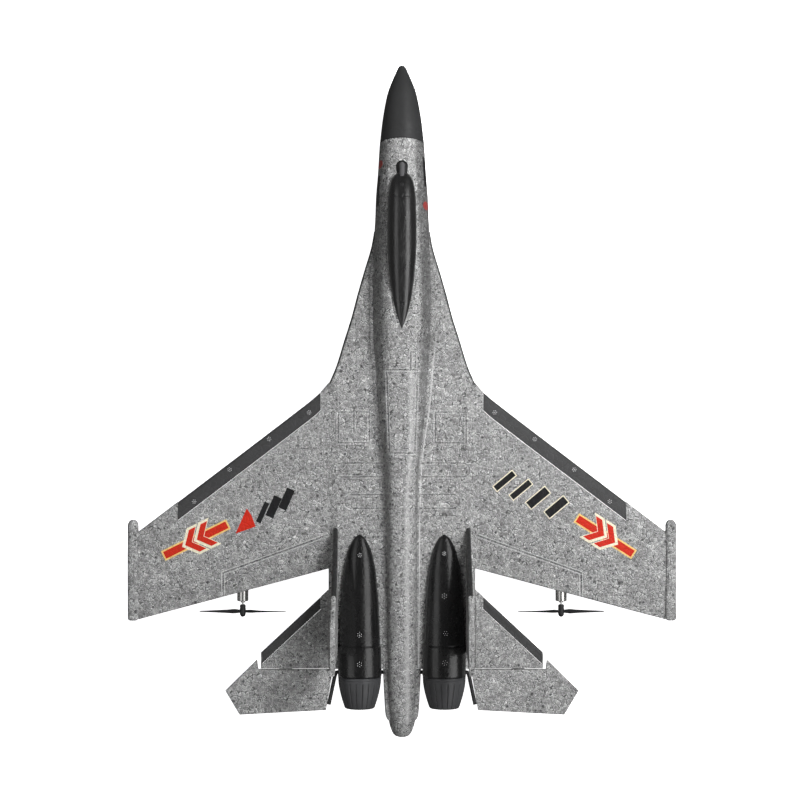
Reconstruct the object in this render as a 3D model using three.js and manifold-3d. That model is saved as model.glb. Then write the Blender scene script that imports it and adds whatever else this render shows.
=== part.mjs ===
// A small foam radio-controlled jet plane with two pusher motors.
// Millimetres. +Z up, +Y towards the nose, +X to starboard, origin under the middle on the ground.
import * as THREE from "three";
import { mergeVertices } from "three/addons/utils/BufferGeometryUtils.js";
import Module from "manifold-3d";

const wasm = await Module();
wasm.setup();

// ---- driving dimensions ----
const LENGTH = 417;
const NOSE_Y = LENGTH / 2;
const DECK_Z = 25; // height of the wing plane above the ground
const DECK_HALF = 3; // half thickness of the centre plate
const GAP = 0.3; // joint gap between neighbouring pieces
const SEAM = DECK_HALF + GAP;
const HALF_SPAN = 170;
const ROOT_X = 45.5; // where wing and stabiliser meet the centre plate
const NOSE_JOINT = 50;
const DECK_FRONT = 104;
const DECK_REAR = 374.6;
const STINGER_END = 408;
const HINGE_S = 377; // elevator hinge line, behind the nose tip
const WING_BOTTOM = -2.2;
const RAIL_X = 166.7;
const MOTOR_X = 99.2;
const MOTOR_Z = -6.4;
const MOTOR_R = 3.5;
const MOTOR_FRONT = 318.5;
const MOTOR_REAR = 334.5;
const MOUNT_FRONT = 300;
const MOUNT_REAR = 326.4;
const MOUNT_TOP = -2.5;
const SHAFT_R = 0.5;
const SHAFT_REAR = 341.8;
const PROP_R = 27;
const HUB_R = 1.85;
const HUB_FRONT = 335.7;
const HUB_REAR = 343.5;
const BLADE_S = 340;
const NACELLE_X = 26.2;
const NOZZLE_FRONT = 379.4;
const NOZZLE_REAR = 399;
const NOZZLE_R = 13.3;
const NOZZLE_R_REAR = 9.2;
const TRUNK_X = 26.65;
const TRUNK_FRONT = 190;
const TRUNK_REAR = 379;
const FIN_X = 41;
const FIN_HALF = 1.5;
const FIN_TOP = 56;
const STRIP_GAP = GAP / 2;
const WING_STRIP = { x0: 50.3, x1: 139, s0: 203.7, s1: 271.3, width: 12.2 };
const TAIL_STRIP = { x0: 50.2, x1: 86.8, s0: 329.6, s1: 363.6, width: 7.8 };
const FIN_STRIP = 12.7;
const FIN_STRIP_TOP = 42;
const SPAR_S = 268;
const SPAR_R = 1;
const SPAR_HALF = 112;
const ROD_R = 1.2; // torque rod
const ROD_HOLE_R = 1.7;
const HORN_R = 6; // control horn radius
const ARM_R = 5.5; // servo arm radius
const ARM_S = 190;
const ARM_H = -11.5;
const PIN_SLOT_HALF = 0.74; // half width of the slots that hold the wire's pins
const TUNNEL_R = 1.5; // round tunnel for the wire
const BATTERY = { half: 10, front: 120, rear: 158, middle: -8.8, thick: 8 };
const BATTERY_BAY = { half: 10.9, front: 116, rear: 170, top: -4.3 };
const SERVO = { x0: -8.4, x1: -1.4, front: 180, rear: 195.6, low: -13.2, top: -5 };
const SERVO_BAY = { x0: -9, x1: 4, front: 176.5, rear: 199, low: -14.2 };
const RECEIVER = { half: 9, front: 120, rear: 146, low: 4.2, top: 5.2 };
const FILM = { x0: 68, x1: 76, front: 370, rear: 384, half: 0.15 };
const HATCH_FRONT = 113.3;
const HATCH_REAR = 172.7;
const HATCH_TOP = -13.5;
const HATCH_HALF = 12.2;
const SWITCH_S = 211;
const SWITCH_HALF = 5;
const FAR = 60; // reach of the cutting boxes, well clear of the body

// ---- frame helpers: s runs aft from the nose tip, h is height over the wing plane ----
const py = (s) => NOSE_Y - s;
const pz = (h) => DECK_Z + h;

// Smooth reading of a short table of [s, value...] rows.
function reader(rows) {
  const slope = (i, k) => {
    const a = rows[Math.max(i - 1, 0)];
    const b = rows[Math.min(i + 1, rows.length - 1)];
    return (b[k] - a[k]) / (b[0] - a[0]);
  };
  const limited = (i, k) => {
    if (i === 0 || i === rows.length - 1) {
      return slope(i, k);
    }
    const before = (rows[i][k] - rows[i - 1][k]) / (rows[i][0] - rows[i - 1][0]);
    const after = (rows[i + 1][k] - rows[i][k]) / (rows[i + 1][0] - rows[i][0]);
    if (before * after <= 0) {
      return 0;
    }
    const m = slope(i, k);
    return Math.sign(m) * Math.min(Math.abs(m), 2 * Math.abs(before), 2 * Math.abs(after));
  };
  return (s, k = 1) => {
    if (s <= rows[0][0]) {
      return rows[0][k];
    }
    const last = rows.length - 1;
    if (s >= rows[last][0]) {
      return rows[last][k];
    }
    let i = 0;
    while (rows[i + 1][0] < s) {
      i += 1;
    }
    const d = rows[i + 1][0] - rows[i][0];
    const t = (s - rows[i][0]) / d;
    const m0 = limited(i, k) * d;
    const m1 = limited(i + 1, k) * d;
    const t2 = t * t;
    const t3 = t2 * t;
    const a = (2 * t3 - 3 * t2 + 1) * rows[i][k] + (t3 - 2 * t2 + t) * m0;
    return a + (3 * t2 - 2 * t3) * rows[i + 1][k] + (t3 - t2) * m1;
  };
}

function stations(from, to, count) {
  return Array.from({ length: count + 1 }, (_, i) => from + ((to - from) * i) / count);
}

const pow = (v, e) => Math.sign(v) * Math.abs(v) ** e;

// ---- geometry helpers ----
// Closed skin over rings of equal point count, each ring a list of Vector3.
function loft(rings) {
  const n = rings[0].length;
  const points = [];
  const faces = [];
  const centre = (ring) => {
    const c = new THREE.Vector3();
    ring.forEach((p) => c.addScaledVector(p, 1 / n));
    return c;
  };
  rings.forEach((ring) => ring.forEach((p) => points.push(p.x, p.y, p.z)));
  for (let i = 0; i < rings.length - 1; i += 1) {
    for (let j = 0; j < n; j += 1) {
      const a = i * n + j;
      const b = i * n + ((j + 1) % n);
      faces.push(a, b, b + n, a, b + n, a + n);
    }
  }
  const first = points.length / 3;
  const c0 = centre(rings[0]);
  const c1 = centre(rings[rings.length - 1]);
  points.push(c0.x, c0.y, c0.z, c1.x, c1.y, c1.z);
  const top = (rings.length - 1) * n;
  for (let j = 0; j < n; j += 1) {
    const k = (j + 1) % n;
    faces.push(first, k, j, first + 1, top + j, top + k);
  }
  const g = new THREE.BufferGeometry();
  g.setAttribute("position", new THREE.Float32BufferAttribute(points, 3));
  g.setIndex(faces);
  return g;
}

function signedVolume(position, index) {
  let v = 0;
  const a = new THREE.Vector3();
  const b = new THREE.Vector3();
  const c = new THREE.Vector3();
  for (let i = 0; i < index.length; i += 3) {
    a.fromArray(position, 3 * index[i]);
    b.fromArray(position, 3 * index[i + 1]);
    c.fromArray(position, 3 * index[i + 2]);
    v += a.dot(b.cross(c));
  }
  return v;
}

// A manifold solid from any closed three.js geometry.
function solid(geometry) {
  let g = geometry.clone();
  g.deleteAttribute("normal");
  g.deleteAttribute("uv");
  g = mergeVertices(g, 1e-4);
  const vertProperties = Float32Array.from(g.attributes.position.array);
  const kept = [];
  const source = g.index.array;
  for (let i = 0; i < source.length; i += 3) {
    const [a, b, c] = [source[i], source[i + 1], source[i + 2]];
    if (a !== b && b !== c && c !== a) {
      kept.push(a, b, c);
    }
  }
  if (signedVolume(vertProperties, kept) < 0) {
    for (let i = 0; i < kept.length; i += 3) {
      [kept[i + 1], kept[i + 2]] = [kept[i + 2], kept[i + 1]];
    }
  }
  const triVerts = Uint32Array.from(kept);
  return new wasm.Manifold(new wasm.Mesh({ numProp: 3, vertProperties, triVerts }));
}

function box(x0, x1, s0, s1, h0, h1) {
  const g = new THREE.BoxGeometry(x1 - x0, s1 - s0, h1 - h0);
  g.translate((x0 + x1) / 2, py((s0 + s1) / 2), pz((h0 + h1) / 2));
  return solid(g);
}

function rodX(x0, x1, s, h, r, sides = 16) {
  const g = new THREE.CylinderGeometry(r, r, x1 - x0, sides);
  g.rotateZ(-Math.PI / 2);
  g.translate((x0 + x1) / 2, py(s), pz(h));
  return solid(g);
}

function rodY(x, s0, s1, h, r0, r1 = r0, sides = 24) {
  const g = new THREE.CylinderGeometry(r0, r1, s1 - s0, sides);
  g.translate(x, py((s0 + s1) / 2), pz(h));
  return solid(g);
}

// Body of revolution about a fore-aft line: profile rows are [s, radius].
function turned(x, h, profile, sides = 24) {
  const points = profile.map(([s, r]) => new THREE.Vector2(r, py(s)));
  const g = new THREE.LatheGeometry(points, sides);
  g.translate(x, 0, pz(h));
  return solid(g);
}

// A plate from a plan outline of [x, s] corners, between two heights.
function plate(corners, h0, h1) {
  const shape = new THREE.Shape(corners.map(([x, s]) => new THREE.Vector2(x, py(s))));
  const g = new THREE.ExtrudeGeometry(shape, { depth: h1 - h0, bevelEnabled: false });
  g.translate(0, 0, pz(h0));
  return solid(g);
}

// An upright plate from a side outline of [s, h] corners, between two x values.
function sidePlate(corners, x0, x1) {
  const shape = new THREE.Shape(corners.map(([s, h]) => new THREE.Vector2(-py(s), pz(h))));
  const g = new THREE.ExtrudeGeometry(shape, { depth: x1 - x0, bevelEnabled: false });
  g.applyMatrix4(new THREE.Matrix4().set(0, 0, 1, x0, -1, 0, 0, 0, 0, 1, 0, 0, 0, 0, 0, 1));
  return solid(g);
}

// A round cord or wire through [x, s, h] points.
function wire(path, r, steps, sides = 8, tension = 0.1) {
  const points = path.map(([x, s, h]) => new THREE.Vector3(x, py(s), pz(h)));
  const curve = new THREE.CatmullRomCurve3(points, false, "catmullrom", tension);
  const shape = new THREE.Shape();
  shape.absarc(0, 0, r, 0, 2 * Math.PI);
  const g = new THREE.ExtrudeGeometry(shape, { steps, curveSegments: sides / 2, extrudePath: curve });
  return solid(g);
}

function flip(m) {
  return m.mirror([1, 0, 0]);
}

// ---- materials ----
function material(color, roughness, metalness = 0) {
  return new THREE.MeshStandardMaterial({ color, roughness, metalness });
}
const FOAM = material(0xa2a4a3, 0.75);
const DARK_FOAM = material(0x4b4d4f, 0.7);
const NOSE_PLASTIC = material(0x3b3c3d, 0.5);
const GLOSS_BLACK = material(0x1c1c1e, 0.15);
const MATT_BLACK = material(0x35363a, 0.65);
const BLACK_PLASTIC = material(0x1f2021, 0.45);
const STEEL = material(0xc9cacc, 0.25, 0.95);
const CARBON = material(0x202124, 0.4);
const BATTERY_WRAP = material(0x2f57a8, 0.35);
const WHITE_PLASTIC = material(0xeceae2, 0.45);
const BOARD_GREEN = material(0x1f6b3c, 0.4);
const CLEAR_FILM = material(0xd9dadb, 0.3);
const LEAD_RED = material(0x8d2320, 0.5);

const group = new THREE.Group();

function add(name, manifold, mat) {
  const m = manifold.getMesh();
  const g = new THREE.BufferGeometry();
  const stride = m.numProp;
  const position = new Float32Array((m.vertProperties.length / stride) * 3);
  for (let i = 0; i < position.length / 3; i += 1) {
    position.set(m.vertProperties.subarray(i * stride, i * stride + 3), 3 * i);
  }
  g.setAttribute("position", new THREE.BufferAttribute(position, 3));
  g.setIndex(new THREE.BufferAttribute(Uint32Array.from(m.triVerts), 1));
  g.computeVertexNormals();
  const mesh = new THREE.Mesh(g, mat);
  mesh.name = name;
  group.add(mesh);
}

function addPair(name, right, mat) {
  add(`${name}_right`, right, mat);
  add(`${name}_left`, flip(right), mat);
}

// ---- body sections ----
// Each row: s, half width above the seam, half width below, top, bottom.
const BODY = reader([
  [50, 13.8, 13.8, 13.4, -15.6],
  [68, 14.9, 14.9, 15.4, -16.2],
  [83, 16.1, 16.1, 17, -16.8],
  [98, 16.7, 16.5, 18.2, -17.4],
  [110, 17.6, 16.4, 18.6, -17.8],
  [141, 19.9, 16.2, 17.6, -18],
  [167, 19.9, 15.2, 16.6, -18],
  [188, 18.3, 14.4, 15.4, -17.4],
  [214, 16, 14.2, 14.2, -16.6],
  [247, 11.5, 14, 13.4, -15.4],
  [288, 10.1, 13.6, 12.2, -13],
  [375, 9.4, 10.4, 9.6, -9.6],
  [395, 8.2, 9, 8.4, -8.6],
  [410, 6.6, 8, 7, -7.4],
]);
// Inward lean of the sides above the seam and the squareness of the section.
const LEAN = reader([
  [50, 0, 2.1],
  [98, 0.12, 2.5],
  [141, 0.42, 4],
  [188, 0.4, 4],
  [230, 0.2, 3.6],
  [300, 0.1, 3],
  [410, 0, 2.2],
]);

// The upper and lower halves each carry their own two corner points at the seam.
function bodyRing(s, shrink = 1) {
  const n = 2 / LEAN(s, 2);
  const lean = LEAN(s, 1);
  const steps = 12;
  const ring = [];
  for (let i = 0; i <= steps; i += 1) {
    const a = (Math.PI * i) / steps;
    const rise = i === steps ? 0 : pow(Math.sin(a), n);
    const x = BODY(s, 1) * (1 - lean * rise) * pow(Math.cos(a), n);
    ring.push(new THREE.Vector3(shrink * x, py(s), pz(shrink * BODY(s, 3) * rise)));
  }
  for (let i = 0; i <= steps; i += 1) {
    const a = (Math.PI * i) / steps;
    const drop = i === steps ? 0 : pow(Math.sin(a), n);
    const x = -BODY(s, 2) * pow(Math.cos(a), n);
    ring.push(new THREE.Vector3(shrink * x, py(s), pz(shrink * BODY(s, 4) * drop)));
  }
  return ring;
}

function bodyLoft(from, to, count) {
  return solid(loft(stations(from, to, count).map((s) => bodyRing(s))));
}

// ---- nose ----
const NOSE = reader([
  [0, 0.9],
  [1.2, 2.2],
  [5, 4],
  [8.7, 5.6],
  [16, 8.4],
  [23.6, 10.2],
  [35, 12.1],
  [50, 13.8],
]);

function noseCone() {
  const rings = [0, 1.2, 3, 5, 8.7, 12.4, 16, 20, 24, 29, 35, 42, NOSE_JOINT - GAP].map((s) => {
    const w = NOSE(s);
    const t = s / NOSE_JOINT;
    const middle = -6 + 5 * Math.sin((t * Math.PI) / 2);
    const tall = w * (1 + 0.05 * t);
    return Array.from({ length: 24 }, (_, i) => {
      const a = (2 * Math.PI * i) / 24;
      return new THREE.Vector3(w * Math.cos(a), py(s), pz(middle + tall * Math.sin(a)));
    });
  });
  return solid(loft(rings));
}

// ---- canopy and the small fairing in front of it ----
// Rows: s, half width, crown height.
const CANOPY = reader([
  [68.5, 3, 16.4],
  [72.5, 6.3, 18.8],
  [80.6, 8.1, 22.2],
  [92, 8.8, 25],
  [106, 9, 26],
  [120, 8.7, 25.2],
  [136, 7.4, 22.6],
  [152, 5, 19],
  [164.5, 1.4, 16.9],
]);
const CANOPY_SINK = 3.5;

function canopyLoft(grow) {
  const marks = [68.5, 70, 72.5, 76, 80.6, 86, 92, 99, 106, 120, 136, 144, 152, 158, 164.5];
  const rings = marks.map((s, i) => {
    const end = i === 0 ? grow : i === marks.length - 1 ? -grow : 0;
    const w = CANOPY(s, 1) + grow;
    const low = BODY(s, 3) - CANOPY_SINK - grow;
    const tall = CANOPY(s, 2) + grow - low;
    return Array.from({ length: 18 }, (_, j) => {
      const a = (Math.PI * j) / 17;
      const x = w * pow(Math.cos(a), 0.8);
      return new THREE.Vector3(x, py(s) + end, pz(low + tall * pow(Math.sin(a), 0.8)));
    });
  });
  return solid(loft(rings));
}

function fairing(grow) {
  const g = new THREE.SphereGeometry(1, 20, 10);
  g.scale(3.9 + grow, 5 + grow, 3.4 + grow);
  g.translate(0, py(65.6), pz(14.2));
  return solid(g);
}

// ---- centre plate: leading edge extensions, centre section, booms and stinger ----
const DECK_EDGE = reader([
  [104, 17.3],
  [113, 18.9],
  [120, 20.8],
  [128, 23.3],
  [143, 27.6],
  [157, 31.3],
  [172, 36],
  [187, 40.6],
  [195, 43.9],
  [198.5, 45.5],
]);
const STINGER = reader([
  [DECK_REAR, 11.8],
  [392, 11],
  [403, 10.2],
  [405.5, 9.4],
  [407, 8],
  [STINGER_END, 5.5],
]);

function deckRing(s, w) {
  const edge = Math.min(DECK_HALF, DECK_HALF * (0.55 + 0.45 * Math.min(1, (s - DECK_FRONT) / 90)));
  return Array.from({ length: 20 }, (_, i) => {
    const a = (2 * Math.PI * (i + 0.5)) / 20;
    const x = w * pow(Math.cos(a), 0.12);
    const inner = Math.max(0, Math.min(1, (w - Math.abs(x)) / 12));
    const half = edge + (DECK_HALF - edge) * inner;
    return new THREE.Vector3(x, py(s), pz(half * pow(Math.sin(a), 0.5)));
  });
}

function deckLoft() {
  const front = [104, 108, 113, 120, 128, 136, 143, 150, 157, 165, 172, 180, 187, 191, 195, 198.5];
  const rings = front.map((s) => deckRing(s, DECK_EDGE(s)));
  rings.push(deckRing(DECK_REAR, ROOT_X));
  const main = solid(loft(rings));
  const tail = [370, DECK_REAR, 384, 392, 398, 403, 405.5, 407, STINGER_END];
  const stinger = solid(loft(tail.map((s) => deckRing(s, STINGER(s)))));
  return main.add(stinger);
}

// ---- wing ----
const WING_LE = reader([
  [45.8, 197.8],
  [49.3, 202],
  [58, 209.6],
  [150.7, 280.2],
  [163.2, 289.6],
]);
const wingRear = (x) => 312.9 + (x - ROOT_X) * 0.268;
const LE_THICK = 0.55;

function wingRing(x) {
  const le = WING_LE(x);
  const chord = wingRear(x) - le;
  const crown = 2.5 - (0.7 * (x - ROOT_X)) / 118;
  const top = (t) => {
    const arch = Math.sin(Math.PI * t ** 0.62) ** 0.85;
    return WING_BOTTOM + 1.5 + (crown - WING_BOTTOM - 1.5) * arch;
  };
  const marks = [0.0, 0.01, 0.04, 0.1, 0.2, 0.32, 0.46, 0.6, 0.74, 0.88, 1];
  const ring = marks.map((t) => {
    const nose = t < 0.04 ? LE_THICK * Math.sqrt(t / 0.04) + 0.1 : 1;
    const h = WING_BOTTOM + (top(t) - WING_BOTTOM) * Math.min(1, nose);
    return new THREE.Vector3(x, py(le + chord * t), pz(h));
  });
  [1, 0.7, 0.4, 0.15, 0.04, 0.01].forEach((t) => {
    const lift = t < 0.04 ? 0.4 : 0;
    ring.push(new THREE.Vector3(x, py(le + chord * t), pz(WING_BOTTOM + lift)));
  });
  return ring;
}

function wingLoft() {
  const marks = [45.8, 47.5, 49.3, 52, 55, 58, 75, 95, 115, 135, 150.7, 163.1];
  return solid(loft(marks.map(wingRing)));
}

// Plan region of a dark edge strip: a slanted band of constant fore-aft width.
function stripRegion({ x0, x1, s0, s1, width }, inset) {
  const slope = (s1 - s0) / (x1 - x0);
  const a = s0 + inset * slope;
  const b = s1 - inset * slope;
  const corners = [
    [x0 + inset, a - 6],
    [x1 - inset, b - 6],
    [x1 - inset, b + width - inset],
    [x0 + inset, a + width - inset],
  ];
  return plate(corners, -12, 12);
}

// The square rail on the wing tip. Rows: s, fraction of its full section.
const RAIL = [
  [282.4, 0.25],
  [283.2, 0.6],
  [285, 0.88],
  [288, 1],
  [330, 1],
  [342, 0.94],
  [345, 0.8],
];

function tipRail() {
  const rings = RAIL.map(([s, k]) =>
    Array.from({ length: 20 }, (_, i) => {
      const a = (2 * Math.PI * i) / 20;
      const x = RAIL_X + (HALF_SPAN - RAIL_X) * k * pow(Math.cos(a), 0.6);
      return new THREE.Vector3(x, py(s), pz(-0.4 + 2.6 * k * pow(Math.sin(a), 0.6)));
    }),
  );
  return solid(loft(rings));
}

// ---- tail ----
const STAB = [
  [45.8, 325.9],
  [50.2, 329.8],
  [87.4, 364.4],
  [87.4, 374.6],
  [45.8, 374.6],
];

function flatLoft(outline, half, edge) {
  const cx = outline.reduce((t, p) => t + p[0], 0) / outline.length;
  const cs = outline.reduce((t, p) => t + p[1], 0) / outline.length;
  const ring = (inset, h) =>
    outline.map(([x, s]) => {
      const dx = x - cx;
      const ds = s - cs;
      const k = 1 - inset / Math.hypot(dx, ds);
      return new THREE.Vector3(cx + dx * k, py(cs + ds * k), pz(h));
    });
  return solid(loft([ring(edge, -half), ring(0, -half + edge), ring(0, half - edge), ring(edge, half)]));
}

const ELEVATOR_CORE = [
  [42.9, 377],
  [89.8, 377],
  [89.8, 369],
  [109.6, 388.4],
  [100.7, 403.4],
  [47.1, 400.5],
];

// Wedge section: full at the hinge, thin at the trailing edge.
function elevator() {
  const tall = plate(ELEVATOR_CORE, -2, 2);
  const noseRound = rodX(42.9, 89.8, HINGE_S, 0, 2, 24);
  const wedge = sidePlate(
    [
      [366, -1.6],
      [366, 1.6],
      [HINGE_S, 2],
      [405, 0.9],
      [405, -0.9],
      [HINGE_S, -2],
    ],
    40,
    112,
  );
  return tall.intersect(wedge).add(noseRound);
}

// ---- fins ----
const FIN = [
  [288, SEAM],
  [338.8, FIN_TOP],
  [371.5, FIN_TOP],
  [364, SEAM],
];
// Side region of the dark strip along the fin's leading edge. It stops short of the fin's top.
function finStripRegion(inset) {
  const slope = (FIN[1][0] - FIN[0][0]) / (FIN_TOP - SEAM);
  const front = (h) => FIN[0][0] + slope * (h - SEAM);
  const low = 0;
  const high = FIN_STRIP_TOP - inset;
  const ahead = 8;
  return sidePlate(
    [
      [front(low) - ahead, low],
      [front(high) - ahead, high],
      [front(high) + FIN_STRIP - inset, high],
      [front(low) + FIN_STRIP - inset, low],
    ],
    FIN_X - 4,
    FIN_X + 4,
  );
}

function fin() {
  return sidePlate(FIN, FIN_X - FIN_HALF, FIN_X + FIN_HALF);
}

// ---- nacelles ----
const COVER = reader([
  [291.4, 0.6, 0.4],
  [295.7, 4.6, 2.2],
  [301, 7.4, 4.2],
  [307.5, 8.8, 5.8],
  [313.7, 10, 7],
  [323, 11, 8.3],
  [332, 11.8, 9.1],
  [357, 12.8, 9.9],
  [379, 13.1, 10],
]);
const COVER_RING = 361.8;
const COVER_STEP = 0.5;

function coverRing(s, extra) {
  const w = COVER(s, 1) + extra;
  const h = COVER(s, 2) + extra;
  return Array.from({ length: 15 }, (_, i) => {
    const a = (Math.PI * i) / 14;
    return new THREE.Vector3(NACELLE_X + w * Math.cos(a), py(s), pz(SEAM + h * pow(Math.sin(a), 0.9)));
  });
}

function nacelleCover() {
  const marks = [291.4, 293, 295.7, 298, 301, 304, 307.5, 313.7, 323, 332, 345, COVER_RING];
  const rings = marks.map((s) => coverRing(s, 0));
  rings.push(coverRing(COVER_RING + 0.6, COVER_STEP));
  rings.push(coverRing(TRUNK_REAR, COVER_STEP - 0.2));
  const finSide = box(FIN_X - FIN_HALF - GAP, 60, 280, 390, 0, 30);
  return solid(loft(rings)).subtract(finSide);
}

function nozzle() {
  const wall = 1.3;
  const profile = [
    [NOZZLE_FRONT, 0],
    [NOZZLE_FRONT, NOZZLE_R],
    [386, 12.9],
    [393, 11.2],
    [NOZZLE_REAR, NOZZLE_R_REAR],
    [NOZZLE_REAR, NOZZLE_R_REAR - wall],
    [393, 11.2 - wall],
    [386, 12.4 - wall],
    [383, 10.8],
    [383, 0],
  ];
  return turned(NACELLE_X, 0, profile, 20);
}

// Rows: s, half width, bottom, squareness, centre x.
const TRUNK = reader([
  [TRUNK_FRONT, 11.35, -24.2, 9, TRUNK_X],
  [196, 11.35, -25.5, 9, TRUNK_X],
  [270, 11.35, -25.5, 8, TRUNK_X],
  [320, 11.6, -21, 4, 26.4],
  [TRUNK_REAR, 13, -13.3, 2.1, NACELLE_X],
]);
const TRUNK_WALL = 1.6;

function trunkRing(s, inset) {
  const w = TRUNK(s, 1) - inset;
  const low = -SEAM - inset;
  const deep = low - TRUNK(s, 2) - inset;
  const n = 2 / TRUNK(s, 3);
  const cx = Math.max(TRUNK(s, 4), 15.2 + TRUNK(s, 1) - (s > 340 ? 2.4 : 0));
  return Array.from({ length: 17 }, (_, i) => {
    const a = (Math.PI * i) / 16;
    const x = cx + w * pow(Math.cos(a), n);
    return new THREE.Vector3(x, py(s), pz(low - deep * pow(Math.sin(a), n)));
  });
}

function intakeTrunk() {
  const marks = [TRUNK_FRONT, 196, 230, 270, 285, 300, 320, 340, 360, TRUNK_REAR];
  const outer = solid(loft(marks.map((s) => trunkRing(s, 0))));
  const recess = solid(loft([186, 192, 198, 212].map((s) => trunkRing(s, TRUNK_WALL))));
  const lip = [
    [TRUNK_FRONT - 10, -2],
    [TRUNK_FRONT - 0.2, -2],
    [TRUNK_FRONT - 0.2, -SEAM],
    [TRUNK_FRONT + 8, -DECK_Z - 1.5],
    [TRUNK_FRONT - 10, -DECK_Z - 1.5],
  ];
  const rake = sidePlate(lip, 10, 44);
  const below = box(5, 50, TRUNK_FRONT - 10, TRUNK_REAR + 10, -FAR, -DECK_Z);
  return outer.subtract(recess).subtract(rake).subtract(below);
}

// ---- motors ----
const LEAD_PATH = [
  [9, 181, -1.75],
  [40, 224, -1.75],
  [70, 266, -1.75],
  [94, 299.6, -1.75],
  [98.6, 306.5, -3.2],
  [99.2, 311, -5.8],
  [99.2, 317.9, MOTOR_Z],
];
const LEAD_R = 0.6;

const MOUNT = reader([
  [MOUNT_FRONT, 0.6],
  [302, 2],
  [309, 4.1],
  [314, 4.6],
  [MOUNT_REAR, 4.5],
]);

function mountRing(s) {
  const r = MOUNT(s);
  return Array.from({ length: 16 }, (_, i) => {
    const a = (2 * Math.PI * i) / 16;
    return new THREE.Vector3(MOTOR_X + r * Math.cos(a), py(s), pz(MOTOR_Z + r * Math.sin(a)));
  });
}

function motorMount() {
  const marks = [MOUNT_FRONT, 302, 305, 309, 314, 320, MOUNT_REAR];
  const sleeve = solid(loft(marks.map(mountRing)));
  const pad = box(MOTOR_X - 4, MOTOR_X + 4, MOUNT_FRONT + 8, MOUNT_REAR - 1, MOTOR_Z, MOUNT_TOP);
  const bore = rodY(MOTOR_X, MOTOR_FRONT - GAP, MOTOR_REAR + 5, MOTOR_Z, MOTOR_R + 0.25);
  const clear = box(MOTOR_X - 10, MOTOR_X + 10, MOUNT_FRONT - 10, MOTOR_REAR + 5, MOUNT_TOP, 5);
  return sleeve.add(pad).subtract(bore).subtract(clear).subtract(wire(LEAD_PATH, LEAD_R + 0.35, 14, 6));
}

function motorCan() {
  const profile = [
    [MOTOR_FRONT, 0],
    [MOTOR_FRONT, MOTOR_R - 0.3],
    [MOTOR_FRONT + 0.3, MOTOR_R],
    [MOTOR_REAR - 1.5, MOTOR_R],
    [MOTOR_REAR - 0.9, MOTOR_R - 0.5],
    [MOTOR_REAR - 0.7, 1.3],
    [MOTOR_REAR, 1.25],
    [MOTOR_REAR, SHAFT_R + 0.06],
    [MOTOR_REAR - 5, SHAFT_R + 0.06],
    [MOTOR_REAR - 5, 0],
  ];
  return turned(MOTOR_X, MOTOR_Z, profile, 18);
}

function motorShaft() {
  return rodY(MOTOR_X, MOTOR_REAR - 4.6, SHAFT_REAR, MOTOR_Z, SHAFT_R, SHAFT_R, 12);
}

// Rows: fraction of the radius, chord.
const BLADE_CHORD = reader([
  [0, 2.4],
  [0.1, 2.9],
  [0.24, 5.6],
  [0.45, 5.5],
  [0.7, 4.2],
  [0.9, 2.3],
  [1, 0.5],
]);
const BLADE_PITCH = 12 / 0.75;

// One blade along +X from the hub: thin, twisted, pointed.
function blade(turn) {
  const rings = [0.9, 3, 6, 10, 15, 20, 24, 26.4, PROP_R].map((r) => {
    const t = r / PROP_R;
    const chord = BLADE_CHORD(t);
    const thick = 1.1 - 0.75 * t;
    const pitch = Math.atan2(BLADE_PITCH, 2 * Math.PI * Math.max(r, 3.2));
    return Array.from({ length: 8 }, (_, i) => {
      const a = (2 * Math.PI * i) / 8;
      const u = (chord / 2) * Math.cos(a);
      const v = (thick / 2) * Math.sin(a);
      const ds = u * Math.sin(pitch) + v * Math.cos(pitch);
      const h = u * Math.cos(pitch) - v * Math.sin(pitch);
      return new THREE.Vector3(r, -ds, h);
    });
  });
  const g = loft(rings);
  g.rotateY(turn);
  g.translate(MOTOR_X, py(BLADE_S), pz(MOTOR_Z));
  return solid(g);
}

function propeller() {
  const profile = [
    [HUB_FRONT, 0],
    [HUB_FRONT, 1.5],
    [HUB_FRONT + 0.3, HUB_R],
    [SHAFT_REAR, HUB_R],
    [HUB_REAR - 0.6, 1.2],
    [HUB_REAR, 0],
  ];
  const hub = turned(MOTOR_X, MOTOR_Z, profile, 14);
  const fit = SHAFT_R + 0.05;
  const bore = rodY(MOTOR_X, HUB_FRONT - 1, SHAFT_REAR + 0.1, MOTOR_Z, fit, fit, 12);
  return hub.add(blade(0)).add(blade(Math.PI)).subtract(bore);
}

// ---- elevator linkage ----
function joiner() {
  const bar = rodX(-41.2, 41.2, HINGE_S, 0, ROD_R);
  const path = [
    [40.9, HINGE_S, 0],
    [42.4, HINGE_S + 7, 0],
    [45.1, HINGE_S + 19, 0],
  ];
  const arm = wire(path, ROD_R - 0.1, 4);
  return bar.add(arm).add(flip(arm));
}

// Arm with a radial slot for the wire's pin; reach is signed, hub is [x0, x1, radius].
function slottedArm(s, h, reach, hub) {
  const up = Math.sign(reach);
  const edge = h + reach + up * 1.9;
  const ends = [h + reach, h + reach * 1.085];
  const low = Math.min(...ends);
  const high = Math.max(...ends);
  const blank = box(1, 2, s - 1.5, s + 1.5, Math.min(h, edge), Math.max(h, edge));
  const slot = box(0, 3, s - PIN_SLOT_HALF, s + PIN_SLOT_HALF, low, high)
    .add(rodX(0, 3, s, low, PIN_SLOT_HALF))
    .add(rodX(0, 3, s, high, PIN_SLOT_HALF));
  return rodX(hub[0], hub[1], s, h, hub[2], 20).add(blank).subtract(slot);
}

function servoArm() {
  const arm = slottedArm(ARM_S, ARM_H, ARM_R, [-0.6, 2, 1.6]);
  return arm.add(rodX(-3, -0.5, ARM_S, ARM_H, 0.8));
}

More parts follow.
